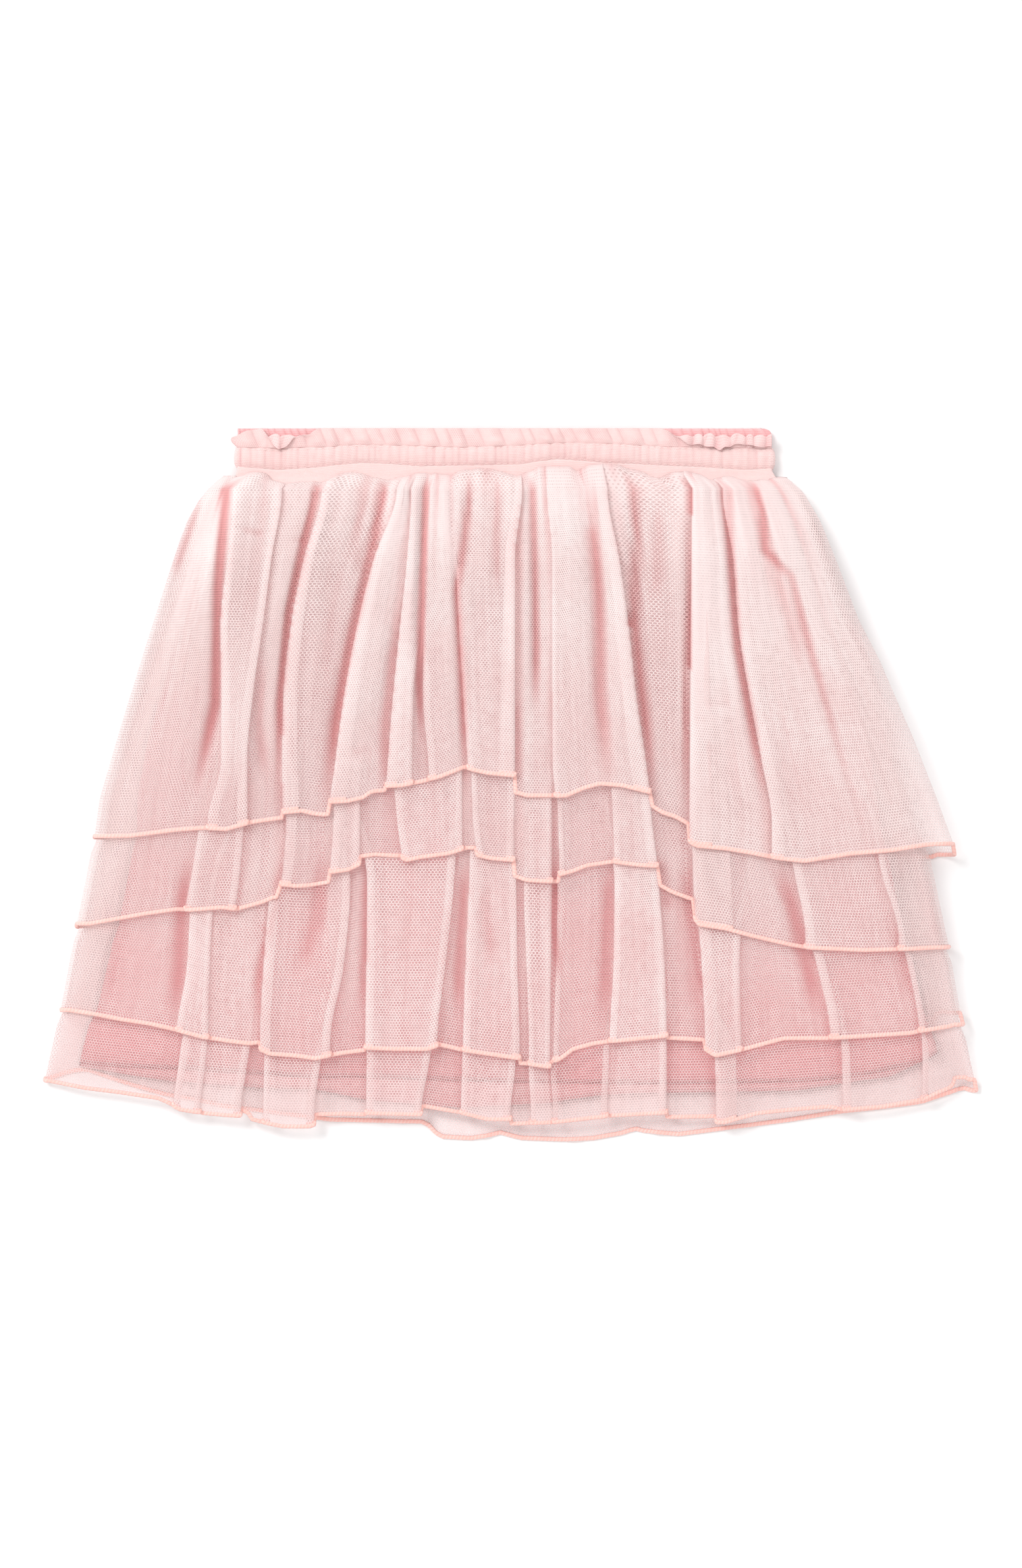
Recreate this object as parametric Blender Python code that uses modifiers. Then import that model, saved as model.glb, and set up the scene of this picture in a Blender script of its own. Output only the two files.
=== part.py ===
"""Child's tulle skirt, laid flat on its back.

Four gathered tulle tiers over a jersey lining skirt, hung from a yoke strip, an
elastic casing and a heading frill.  Every piece is an open cloth surface, lofted
from the waist to its hem, and Solidify gives it its wall.

X runs across the skirt, +Y towards the waist and +Z up, away from the floor.
The tables are in millimetres from the middle of the skirt.
"""

import bpy
import numpy as np

MM = 0.001

COLLECTION = "tulle_skirt"
TIERS = 4

# Walls, and the distance that pieces keep at a seam.
TULLE_WALL = 1.0
JERSEY_WALL = 1.0
CASING_WALL = 1.8
CASING_GAP = 0.6
# The side edges of a front and a back tier stand this far off the seam line.
SIDE_SEAM_OFFSET = 0.18

# Places along the skirt, from the gathering seam down.
SEAM_Y = 138.6
INNER_SEAM_Y = 137.2
GATHER_Y = 128.0
CHEST_Y = 105.1
HIP_Y = 58.6

# Heights of the stack of cloths at places along the skirt.  Below the lining
# the last two rows hold wherever that hem lies.
STACK_COLUMNS = (
    "y", "pitch", "lining_back", "lining_front", "side_seam", "tier_4", "front_fold", "back_fold",
)
STACK = (
    (SEAM_Y, 1.36, 5.94, 7.54, 6.74, 8.90, 0.0, 0.0),
    (CHEST_Y, 1.75, 9.60, 10.95, 10.28, 12.95, 3.0, 2.4),
    (-40.0, 1.75, 9.60, 10.95, 10.28, 12.95, 2.8, 2.2),
    (-127.0, 1.75, 5.40, 6.75, 6.08, 8.75, 2.2, 1.4),
    (-141.0, 1.75, 3.70, 5.05, 4.40, 7.05, 2.0, 1.2),
    (-155.0, 1.75, 3.10, 4.45, 2.35, 4.20, 1.6, 1.0),
)
LINING_HEM_LEVEL = -141.0
SKIRT_HEM_LEVEL = -155.0
# x of the sides at the hem of the tulle and of the lining.
SKIRT_SIDE = 220.0
LINING_SIDE = 204.0
FLOOR_CLOTH_Z = TULLE_WALL / 2

# Outline of the skirt: (y, x of the side).
LEFT_SIDE = (
    (145.4, -135.2), (SEAM_Y, -137.3), (CHEST_Y, -159.3), (HIP_Y, -174.2),
    (-23.9, -196.2), (-66.7, -204.9), (-105.4, -212.3), (-138.9, -220.1),
)
RIGHT_SIDE = (
    (145.4, 129.5), (SEAM_Y, 137.0), (CHEST_Y, 153.4), (HIP_Y, 171.7),
    (-26.7, 195.8), (-76.3, 206.5), (-111.6, 212.7), (-145.1, 220.1),
)
# The outermost tier stands further out on the right.
RIGHT_SIDE_TIER_1 = (
    (145.4, 129.5), (SEAM_Y, 137.0), (CHEST_Y, 153.4), (HIP_Y, 173.6), (-26.7, 208.0),
)
# The lining is narrower than the tulle over it.
LINING_INSET = ((SEAM_Y, 0.0), (CHEST_Y, 6.0), (HIP_Y, 10.0), (0.0, 12.0))

# Front folds, left to right.  A rise steps up to the right, a fall steps down
# to the right and a groove is a soft valley.  Each has its x at every FOLD_Y.
FOLD_Y = (138.6, 105.1, 58.6, 18.3, -15.8, -59.2, -121.2, -155.3)
FRONT_FOLDS = (
    ("rise", (-121.0, -133.0, -135.8, -135.8, -142.0, -152.5, -156.9, -157.5)),
    ("fall", (-107.3, -112.2, -118.4, -122.8, -123.4, -137.6, -142.0, -144.5)),
    ("rise", (-88.7, -97.3, -104.8, -106.6, -107.0, -110.4, -117.5, -116.6)),
    ("rise", (-60.2, -65.5, -75.6, -81.5, -84.0, -81.8, -83.4, -90.2)),
    ("rise", (-44.6, -49.0, -53.6, -57.4, -57.7, -55.1, -67.9, -68.2)),
    ("groove", (-33.5, -38.1, -40.1, -40.0, -39.6, -39.2, -49.5, -50.6)),
    ("rise", (-20.9, -24.4, -22.6, -20.8, -19.8, -17.4, -22.0, -23.2)),
    ("fall", (0.8, 0.9, 1.9, 1.9, 1.9, 1.6, 3.0, 1.2)),
    ("rise", (13.6, 13.6, 18.6, 19.5, 20.8, 22.3, 19.2, 19.8)),
    ("groove", (32.3, 38.2, 40.4, 42.0, 43.6, 41.4, 36.5, 36.4)),
    ("fall", (49.3, 51.5, 56.7, 62.0, 67.0, 70.4, 73.2, 73.2)),
    ("rise", (80.4, 82.6, 84.0, 83.7, 83.4, 86.6, 90.5, 96.4)),
    ("rise", (99.8, 104.5, 108.8, 115.9, 121.5, 137.0, 149.4, 155.6)),
    ("groove", (115.6, 125.2, 141.4, 153.1, 162.0, 174.9, 184.3, 187.4)),
)
# Columns of each kind of fold: (shift from its line, level, end of the stretch
# of hem to its left or start of the one to its right).
FOLD_SHAPES = {
    "rise": ((-4.0, 0.0, "end"), (0.0, 1.0, "start")),
    "fall": ((0.0, 1.0, "end"), (4.0, 0.0, "start")),
    "groove": ((-4.5, 0.6, "end"), (0.0, 0.0, "end"), (4.5, 0.6, "start")),
}
SEAM_FOLD_SHARE = 0.65
CROWN_LIFT = 0.12
# Stretches too narrow for a column on their crown.
NO_CROWN = (1, 5, 8, 11)

# Hem of the front tiers, a row for each stretch between two folds: the y of
# its left and right end on tiers 1 to 4.
FRONT_HEMS = (
    ((-24.5, -20.8), (-66.7, -58.9), (-105.4, -115.6), (-139.2, -152.8)),
    ((-20.8, -18.3), (-58.9, -58.0), (-115.9, -119.0), (-152.8, -154.7)),
    ((-18.0, -15.8), (-57.7, -53.0), (-119.0, -121.2), (-155.0, -156.6)),
    ((-13.3, -13.0), (-46.8, -45.6), (-124.3, -126.8), (-159.0, -159.7)),
    ((-8.4, -2.5), (-41.2, -33.5), (-126.2, -123.7), (-157.2, -154.7)),
    ((-0.9, 1.2), (-35.0, -34.1), (-123.7, -124.3), (-154.7, -155.3)),
    ((2.8, 8.4), (-33.8, -29.8), (-124.3, -123.7), (-155.3, -154.4)),
    ((7.1, 4.0), (-30.7, -35.6), (-124.6, -128.7), (-154.4, -157.5)),
    ((-3.7, -5.3), (-43.1, -45.6), (-131.1, -132.7), (-159.7, -158.7)),
    ((-5.6, 0.3), (-42.5, -37.8), (-130.5, -124.9), (-158.4, -157.8)),
    ((0.0, -3.7), (-37.8, -38.4), (-124.3, -118.1), (-157.2, -154.4)),
    ((-9.9, -18.6), (-47.1, -53.9), (-119.0, -120.0), (-156.6, -156.2)),
    ((-26.7, -34.1), (-62.3, -76.0), (-124.3, -119.3), (-158.4, -152.5)),
    ((-35.6, -32.2), (-76.9, -77.8), (-119.3, -115.9), (-153.1, -147.6)),
    ((-31.9, -27.3), (-77.8, -76.3), (-115.6, -111.6), (-147.2, -145.1)),
)
# Hem of the front of the lining: (x, y).
LINING_FRONT_HEM = (
    (-LINING_SIDE, -130.5), (-116.6, -136.1), (7.4, -139.8), (69.4, -140.7),
    (131.4, -139.0), (177.9, -133.0), (LINING_SIDE, -127.4),
)

# Gathers of the outermost tier: crest of its puffs over the yoke, (x, y), and
# (y, height of the gathers) from there down.
PUFF_TOP = (
    (-135.2, 145.4), (-107.3, 143.2), (-70.1, 146.0), (-39.1, 146.0),
    (-9.6, 148.2), (3.4, 144.2), (21.4, 149.1), (50.8, 150.0), (71.9, 144.2),
    (84.9, 147.2), (98.0, 143.2), (109.7, 144.5), (134.5, 141.1),
)
PUFF_DEPTH = 1.4
PUFF_RISE = 0.6
PUFF_OVER_YOKE = 1.6
PUFF_OVER_SIDE = 0.8
PUFF_SCALLOP = 0.8
PUFF_EVERY = 2
GATHERS = ((SEAM_Y, 2.2), (GATHER_Y, 2.4), (CHEST_Y, 1.2), (HIP_Y, 0.4), (0.0, 0.0))
BACK_TOP = ((-135.2, 145.0), (0.0, 145.0), (134.5, 141.1))

# Back folds: x at the seam, under the hip and at the hem, and their columns.
BACK_FOLD_Y = (SEAM_Y, 40.0, -155.0)
BACK_FOLDS = (
    (-112.0, -140.0, -172.0), (-86.0, -104.0, -128.0), (-62.0, -70.0, -84.0),
    (-34.0, -40.0, -52.0), (-10.0, -8.0, -12.0), (16.0, 24.0, 30.0),
    (44.0, 58.0, 70.0), (72.0, 92.0, 112.0), (100.0, 128.0, 158.0),
)
BACK_FOLD_SHAPE = ((-5.0, 0.0), (0.0, 1.0), (3.6, 0.0))
# Hem of each back tier: (x, y).
BACK_HEMS = (
    ((-196.0, -24.5), (-120.0, -29.0), (0.0, -33.0), (120.0, -31.0), (208.0, -27.3)),
    ((-205.0, -66.7), (-120.0, -71.0), (0.0, -74.0), (120.0, -77.0), (206.5, -76.3)),
    ((-212.3, -105.4), (-120.0, -119.0), (0.0, -127.0), (120.0, -121.0), (212.7, -111.6)),
    (
        (-220.1, -139.2), (-178.6, -143.5), (-116.6, -153.8), (-54.6, -156.6),
        (-40.6, -159.0), (-34.4, -165.3), (4.3, -166.3), (32.2, -167.4),
        (61.7, -162.4), (78.7, -164.4), (131.4, -158.4), (220.1, -145.1),
    ),
)
LINING_BACK_HEM = (
    (-LINING_SIDE, -134.0), (-156.9, -139.8), (-116.6, -142.9), (-68.5, -148.5),
    (-23.6, -151.8), (16.7, -150.0), (44.6, -147.0), (131.4, -144.0),
    (177.9, -137.5), (LINING_SIDE, -131.0),
)
# A back cloth comes down by one layer over this length past the hem below it,
# and its last bend lies this far past the hem of the lining's front.
HEM_DROP = 12.0
TULLE_PAST_LINING = 2.0
LINING_PAST_LINING = 1.0

# Side edges: angle up or down from the side seam, in degrees.
SIDE_ANGLES = (0.0, 35.0, 65.0, 90.0)
LINING_COLUMNS = 16
LINING_ROWS = (SEAM_Y, CHEST_Y, HIP_Y, 10.0, -40.0, -118.0)

# Waist: (x, y) of the edges of the elastic casing.
CASING_BOTTOM = (
    (-128.7, 148.8), (-90.8, 148.5), (-58.0, 150.3), (-11.2, 149.9),
    (21.4, 152.3), (57.0, 150.3), (88.0, 148.8), (122.8, 147.9),
)
CASING_TOP = (
    (-128.7, 159.0), (-110.4, 158.6), (-73.2, 160.0), (-23.6, 159.0),
    (22.9, 161.0), (72.5, 159.3), (122.8, 158.4),
)
WAIST_LEFT = -128.7
WAIST_RIGHT = 122.8
CASING_FRONT_Z = 3.7
CASING_BACK_Z = 0.9
CASING_SWELL = (0.0, 1.0, 1.0, 0.0)
FRONT_CASING_RELIEF = (25, 0.6, 0.5)
BACK_CASING_RELIEF = (14, 0.3, 0.3)

# Yoke strip: (y, z) from the casing's edge down to the gathering seam.
YOKE_FRONT = ((148.2, 3.7), (145.0, 4.7), (141.0, 7.2), (138.9, 7.54))
YOKE_BACK = ((148.2, 0.9), (145.0, 1.95), (141.0, 5.4), (138.9, 5.94))
YOKE_ENDS = ((148.2, -128.7, 122.8), (138.9, -129.7, 126.0))
YOKE_COLUMNS = 18

# Heading frill: rows as (share of its height, z, share of the pleats), plain
# and where it flips forward, and how much it flips by x.
FRILL_CREST = 167.5
FRILL_PLAIN = ((0.0, 4.1, 0.3), (0.35, 4.3, 1.0), (0.7, 4.5, 1.0), (1.0, 4.7, 1.2))
FRILL_FLIPPED = ((0.0, 4.1, 0.3), (0.3, 5.0, 0.6), (0.5, 7.2, 0.8), (0.2, 9.0, 1.0))
FRILL_FLIP = (
    (-128.7, 1.0), (-106.0, 1.0), (-92.0, 0.0), (70.0, 0.0), (80.0, 1.0),
    (118.0, 1.0), (122.8, 0.7),
)
FRILL_BACK = ((0.0, 0.5, 0.5), (0.5, 0.5, 1.0), (1.0, 0.5, 1.0))
FACING_BACK = ((0.0, 2.3, 0.6), (0.5, 2.3, 1.0), (1.0, 2.3, 1.0))
FRILL_SLANT = 3.0
FRONT_FRILL_PLEATS = (26, 1.6, 0.5)
BACK_FRILL_PLEATS = (16, 0.5, 0.4)
FACING_RUCHES = (14, 0.4, 0.0)

# The middle of the finished box, from the middle of the tables.
CENTRE_SHIFT = (0.0, -0.1, 0.016)

COLOURS = {
    "tulle": ((0.95, 0.80, 0.79), 0.90),
    "lining": ((0.84, 0.56, 0.56), 0.95),
    "yoke": ((0.95, 0.72, 0.70), 0.95),
    "casing": ((0.94, 0.70, 0.68), 0.95),
    "frill": ((0.93, 0.68, 0.66), 0.95),
    "facing": ((0.91, 0.56, 0.56), 0.95),
}


def read_table(table, place):
    """Second column of a two-column table at a place, straight between rows."""
    rows = np.array(sorted(table))
    return np.interp(place, rows[:, 0], rows[:, 1])


def stack(column, y):
    """A named column of STACK at y."""
    rows = np.array(sorted(STACK))
    return np.interp(y, rows[:, 0], rows[:, STACK_COLUMNS.index(column)])


def straight_line(y):
    """Table of a line straight across the skirt."""
    return ((0.0, y),)


def lowered(line, drop):
    """A line's table moved down the skirt."""
    return tuple((x, y - drop) for x, y in line)


def line_x(stations, places, y):
    """x of a fold line at y, from its x at each station from the waist down."""
    return float(np.interp(y, stations[::-1], places[::-1]))


def make_material(name):
    colour, roughness = COLOURS[name]
    material = bpy.data.materials.new(name)
    material.use_nodes = True
    shader = material.node_tree.nodes["Principled BSDF"]
    shader.inputs["Base Color"].default_value = (*colour, 1.0)
    shader.inputs["Roughness"].default_value = roughness
    shader.inputs["Metallic"].default_value = 0.0
    return material


def make_cloth(name, points, wall, material, collection):
    """Closed cloth of one wall, from rows of points in millimetres.

    Rows run from the waist to the hem and columns from left to right.
    """
    points = (np.array(points) + CENTRE_SHIFT) * MM
    rows, columns = points.shape[:2]
    index = np.arange(rows * columns).reshape(rows, columns)
    corners = (index[:-1, :-1], index[1:, :-1], index[1:, 1:], index[:-1, 1:])
    faces = np.stack(corners, axis=-1).reshape(-1, 4)
    mesh = bpy.data.meshes.new(name)
    mesh.from_pydata(points.reshape(-1, 3).tolist(), [], faces.tolist())
    mesh.materials.append(material)
    cloth = bpy.data.objects.new(name, mesh)
    collection.objects.link(cloth)
    thicken = cloth.modifiers.new("wall", "SOLIDIFY")
    thicken.thickness = wall * MM
    thicken.offset = 0.0
    thicken.use_even_offset = True
    thicken.use_quality_normals = True
    return cloth


# ---- places along the skirt -------------------------------------------------


def front_place(name, stretch, end):
    """(y, level in STACK) of a named place on a stretch of the front.

    Places are a fixed y, or the hem of a tier, half way between two hems, or
    the lining's hem.
    """
    if name == "between":
        upper = front_place("hem_2", stretch, end)[0]
        lower = front_place("hem_3", stretch, end)[0]
        return (upper + lower) / 2, (upper + lower) / 2
    if name == "lining_hem":
        x = stretch_x(stretch, end)
        return float(read_table(LINING_FRONT_HEM, x)), LINING_HEM_LEVEL
    if name.startswith("hem_"):
        tier = int(name[-1])
        y = FRONT_HEMS[stretch][tier - 1][end]
        return y, SKIRT_HEM_LEVEL if tier == TIERS else y
    y = {"seam": SEAM_Y, "inner_seam": INNER_SEAM_Y, "chest": CHEST_Y, "hip": HIP_Y}[name]
    return y, y


def stretch_x(stretch, end):
    """x of one end of a stretch near the lining's hem."""
    fold = stretch - 1 + end
    if fold < 0:
        return LINING_FRONT_HEM[0][0]
    if fold >= len(FRONT_FOLDS):
        return LINING_FRONT_HEM[-1][0]
    return line_x(FOLD_Y, FRONT_FOLDS[fold][1], LINING_HEM_LEVEL)


FRONT_PLACES = ("seam", "chest", "hip", "hem_1", "hem_2", "between", "hem_3", "lining_hem", "hem_4")


def outer_tier(place):
    """The tier that shows at the side at a place of the front."""
    order = FRONT_PLACES.index(place)
    hems = [FRONT_PLACES.index(f"hem_{tier}") for tier in range(1, TIERS + 1)]
    return 1 + sum(order > hem for hem in hems)


def tier_z(tier, level):
    """Height of a front tier where no fold lifts it."""
    return float(stack("tier_4", level) + (TIERS - tier) * stack("pitch", level))


def side_radius(tier, level):
    """Distance from the centre of a side's bend out to a tier."""
    return tier_z(tier, level) - float(stack("side_seam", level))


def side_outline(side, tier):
    if side < 0:
        return LEFT_SIDE
    return RIGHT_SIDE_TIER_1 if tier == 1 else RIGHT_SIDE


def side_stations(side, tier):
    """Rows (y, centre of the bend, radius, height of the seam) of a side edge."""
    stretch = 0 if side < 0 else len(FRONT_HEMS) - 1
    end = 0 if side < 0 else 1
    rows = []
    for place in FRONT_PLACES:
        if tier == 1 and place == "hem_2":
            break
        y, level = front_place(place, stretch, end)
        edge = float(read_table(side_outline(side, tier), y))
        reach = side_radius(outer_tier(place), level) + TULLE_WALL / 2
        centre = edge - side * reach
        rows.append((y, centre, side_radius(tier, level), float(stack("side_seam", level))))
    return np.array(rows)


def side_at(side, tier, y):
    """Centre, radius and seam height of a side edge at y."""
    rows = side_stations(side, tier)[::-1]
    return tuple(float(np.interp(y, rows[:, 0], rows[:, k])) for k in (1, 2, 3))


def side_points(side, centre, radius, seam_z, top_z, y):
    """Points of a bend from the side seam up, or down, to the flat of a cloth."""
    turn = np.radians(np.array(SIDE_ANGLES))
    x = centre + side * radius * np.cos(turn)
    z = seam_z + (top_z - seam_z) * np.sin(turn)
    z[0] += np.sign(top_z - seam_z) * SIDE_SEAM_OFFSET
    points = np.stack([x, np.full_like(x, y), z], axis=1)
    return points if side < 0 else points[::-1]


# ---- front tiers ------------------------------------------------------------


def fold_columns():
    """Columns of the front folds: (fold, shift, level, stretch, end)."""
    columns = []
    for fold, (kind, _) in enumerate(FRONT_FOLDS):
        for shift, level, part in FOLD_SHAPES[kind]:
            stretch, end = (fold, 1) if part == "end" else (fold + 1, 0)
            columns.append((fold, shift, level, stretch, end))
    return columns


def with_crowns(points, levels, stretches):
    """Add a column on the crown of every stretch that is wide enough."""
    new_points, new_levels = [points[0]], [levels[0]]
    crowned = set(NO_CROWN)
    for k in range(1, len(points)):
        stretch = stretches[k]
        if stretch == stretches[k - 1] and stretch not in crowned:
            new_points.append((points[k - 1] + points[k]) / 2)
            new_levels.append((levels[k - 1] + levels[k]) / 2 + CROWN_LIFT)
            crowned.add(stretch)
        new_points.append(points[k])
        new_levels.append(levels[k])
    return np.array(new_points), np.array(new_levels)


def front_row(tier, place):
    """One row of points of a front tier at a named place."""
    left_y, left_level = front_place(place, 0, 0)
    right_y, right_level = front_place(place, len(FRONT_HEMS) - 1, 1)
    sides = []
    for side, y, level in ((-1, left_y, left_level), (1, right_y, right_level)):
        centre, radius, seam_z = side_at(side, tier, y)
        sides.append(side_points(side, centre, radius, seam_z, tier_z(tier, level), y))
    points, levels, stretches = [sides[0][-1]], [0.0], [0]
    for fold, shift, level, stretch, end in fold_columns():
        y, place_level = front_place(place, stretch, end)
        narrow = np.interp(y, (CHEST_Y, SEAM_Y), (1.0, SEAM_FOLD_SHARE))
        x = line_x(FOLD_Y, FRONT_FOLDS[fold][1], y) + shift * narrow
        points.append(np.array((x, y, tier_z(tier, place_level))))
        levels.append(level * float(stack("front_fold", place_level)))
        stretches.append(stretch)
    points.append(sides[1][0])
    levels.append(0.0)
    stretches.append(len(FRONT_HEMS) - 1)
    inner, lifts = with_crowns(points, levels, stretches)
    inner[:, 2] += lifts
    return np.concatenate([sides[0][:-1], inner, sides[1][1:]])


def gathered(row, y):
    """Lift every other column of a row into a gather."""
    row = row.copy()
    inner = slice(len(SIDE_ANGLES) + 1, -len(SIDE_ANGLES), PUFF_EVERY)
    row[inner, 2] += float(read_table(GATHERS, y))
    return row


def puff_rows(tier_top, seam_row):
    """Two rows that roll the outermost tier over the edge of the yoke."""
    top = seam_row.copy()
    crest = seam_row.copy()
    top_y = read_table(PUFF_TOP, seam_row[:, 0])
    puffs = np.where(np.arange(len(seam_row)) % PUFF_EVERY == 0, PUFF_SCALLOP, -PUFF_SCALLOP)
    edge = len(SIDE_ANGLES)
    puffs[:edge] = 0.0
    puffs[-edge:] = 0.0
    top_y[:edge] = top_y[edge - 1]
    top_y[-edge:] = top_y[-edge]
    top[:, 1] = top_y + puffs
    crest[:, 1] = top_y + puffs - PUFF_DEPTH
    seam_z = float(stack("side_seam", SEAM_Y))
    over_yoke = read_table(YOKE_FRONT, top[:, 1]) + PUFF_OVER_YOKE
    share = (seam_row[:, 2] - seam_z) / (tier_top - seam_z)
    above_side = (over_yoke - seam_z) * np.minimum(share, 1.0)
    top[:, 2] = seam_z + np.maximum(above_side, PUFF_OVER_SIDE)
    crest[:, 2] = top[:, 2] + (seam_row[:, 2] - top[:, 2]) * PUFF_RISE
    for side, columns in ((-1, slice(0, edge)), (1, slice(-edge, None))):
        outline = side_outline(side, 1)
        for row in (top, crest):
            shift = read_table(outline, row[columns, 1]) - read_table(outline, SEAM_Y)
            row[columns, 0] += shift
    return [top, crest]


def front_tier(tier):
    """Rows of points of a front tier, from its gathers to its hem."""
    last = FRONT_PLACES.index(f"hem_{tier}")
    places = FRONT_PLACES[1 : last + 1]
    if tier > 1:
        return [front_row(tier, place) for place in ("inner_seam", *places)]
    rows = [front_row(tier, place) for place in ("seam", *places)]
    gather = front_row(1, "seam")
    blend = (SEAM_Y - GATHER_Y) / (SEAM_Y - CHEST_Y)
    gather = gather + (rows[1] - gather) * blend
    rows = [
        gathered(rows[0], SEAM_Y), gathered(gather, GATHER_Y),
        gathered(rows[1], CHEST_Y), gathered(rows[2], HIP_Y), rows[3],
    ]
    return puff_rows(tier_z(1, SEAM_Y), rows[0]) + rows


# ---- back tiers -------------------------------------------------------------


def back_fold_columns():
    return [
        (fold, shift, level)
        for fold in range(len(BACK_FOLDS))
        for shift, level in BACK_FOLD_SHAPE
    ]


def back_places(last_tier):
    """Rows of a back cloth: (line across it, hems already passed, level)."""
    top_y = SEAM_Y if last_tier == 1 else INNER_SEAM_Y
    places = [(straight_line(y), 0, None) for y in (top_y, CHEST_Y, HIP_Y)]
    for tier in range(1, last_tier):
        hem = BACK_HEMS[tier - 1]
        places.append((hem, tier - 1, None))
        places.append((lowered(hem, HEM_DROP), tier, None))
    if last_tier == TIERS:
        bend = lowered(LINING_FRONT_HEM, TULLE_PAST_LINING)
        places.append((bend, TIERS - 1, LINING_HEM_LEVEL))
    level = SKIRT_HEM_LEVEL if last_tier == TIERS else None
    places.append((BACK_HEMS[last_tier - 1], last_tier - 1, level))
    return places


def back_height(layers, level):
    """Height of a back cloth that lies on a number of others."""
    return FLOOR_CLOTH_Z + layers * float(stack("pitch", level))


def back_row(tier, place):
    """One row of points of a back tier."""
    line, passed, fixed_level = place
    layers = max(tier - 1 - passed, 0)
    sides = []
    for side in (-1, 1):
        y = float(read_table(line, side * SKIRT_SIDE))
        level = y if fixed_level is None else fixed_level
        centre, radius, seam_z = side_at(side, tier, y)
        sides.append(side_points(side, centre, radius, seam_z, back_height(layers, level), y))
    inner = []
    for fold, shift, rise in back_fold_columns():
        stations = BACK_FOLDS[fold]
        near = line_x(BACK_FOLD_Y, stations, float(read_table(line, stations[1])))
        y = float(read_table(line, near))
        level = y if fixed_level is None else fixed_level
        narrow = np.interp(y, (CHEST_Y, SEAM_Y), (1.0, SEAM_FOLD_SHARE))
        x = line_x(BACK_FOLD_Y, stations, y) + shift * narrow
        z = back_height(layers, level) + rise * float(stack("back_fold", level))
        inner.append((x, y, z))
    return np.concatenate([sides[0], np.array(inner), sides[1]])


def back_tier(tier):
    """Rows of points of a back tier, from its gathers to its hem."""
    rows = [back_row(tier, place) for place in back_places(tier)]
    if tier > 1:
        return rows
    top = rows[0].copy()
    top_y = read_table(BACK_TOP, top[:, 0])
    edge = len(SIDE_ANGLES)
    top_y[:edge] = PUFF_TOP[0][1]
    top_y[-edge:] = PUFF_TOP[-1][1]
    top[:, 1] = top_y
    for side, columns in ((-1, slice(0, edge)), (1, slice(-edge, None))):
        outline = side_outline(side, 1)
        top[columns, 0] += read_table(outline, top[columns, 1]) - read_table(outline, SEAM_Y)
    return [top] + rows


# ---- lining -----------------------------------------------------------------


def lining_row(face, line, level):
    """One row of a lining panel, flat from side to side."""
    ends = []
    for side in (-1, 1):
        y = float(read_table(line, side * LINING_SIDE))
        centre, _, _ = side_at(side, TIERS, y)
        ends.append(centre - side * float(read_table(LINING_INSET, y)))
    x = np.linspace(ends[0], ends[1], LINING_COLUMNS)
    y = read_table(line, x)
    here = y if level is None else np.full_like(y, level)
    return np.stack([x, y, stack(f"lining_{face}", here)], axis=1)


def lining_panel(face):
    """Rows of points of a lining panel.  The back one is longer: it follows
    the front's hem and then comes down to its own."""
    rows = [lining_row(face, straight_line(y), None) for y in LINING_ROWS]
    if face == "front":
        return rows + [lining_row(face, LINING_FRONT_HEM, LINING_HEM_LEVEL)]
    bend = lowered(LINING_FRONT_HEM, LINING_PAST_LINING)
    rows.append(lining_row(face, bend, LINING_HEM_LEVEL))
    rows.append(lining_row(face, LINING_BACK_HEM, SKIRT_HEM_LEVEL))
    return rows


# ---- waist ------------------------------------------------------------------


def waist_x(count):
    return np.linspace(WAIST_LEFT, WAIST_RIGHT, 2 * count + 1)


def ridges(count):
    """1 on every other column, 0 between."""
    return np.arange(2 * count + 1) % 2


def casing_panel(base_z, relief):
    """Shirred elastic casing: a swollen band with upright creases."""
    count, crease, swell = relief
    x = waist_x(count)
    bottom = read_table(CASING_BOTTOM, x)
    top = read_table(CASING_TOP, x)
    rows = []
    for k, full in enumerate(CASING_SWELL):
        share = 1.0 - k / (len(CASING_SWELL) - 1)
        y = bottom + (top - bottom) * share
        z = base_z + full * swell + ridges(count) * crease
        rows.append(np.stack([x, y, z], axis=1))
    return rows


def yoke_panel(profile):
    rows = []
    for k, (y, z) in enumerate(profile):
        left = read_table([(e[0], e[1]) for e in YOKE_ENDS], y)
        right = read_table([(e[0], e[2]) for e in YOKE_ENDS], y)
        x = np.linspace(left, right, YOKE_COLUMNS)
        edge = read_table(CASING_BOTTOM, x) - CASING_GAP
        y_row = edge if k == 0 else np.full_like(x, y)
        rows.append(np.stack([x, y_row, np.full_like(x, z)], axis=1))
    return rows


def frill_panel(plain, flipped, pleats):
    """Ruffled strip over the casing; where it flips, it turns over forwards."""
    count, height, scallop = pleats
    x = waist_x(count)
    flip = read_table(FRILL_FLIP, x)
    edge = read_table(CASING_TOP, x) + CASING_GAP
    rows = []
    for k in range(len(plain)):
        rise, z, share = (
            plain[k][i] + (flipped[k][i] - plain[k][i]) * flip for i in range(3)
        )
        along = k / (len(plain) - 1)
        y = edge + rise * (FRILL_CREST - edge) - ridges(count) * scallop * along
        lean = -FRILL_SLANT * along * np.sin(np.pi * (x - WAIST_LEFT) / (WAIST_RIGHT - WAIST_LEFT))
        rows.append(np.stack([x + lean, y, z + ridges(count) * height * share], axis=1))
    return rows[::-1]


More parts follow.
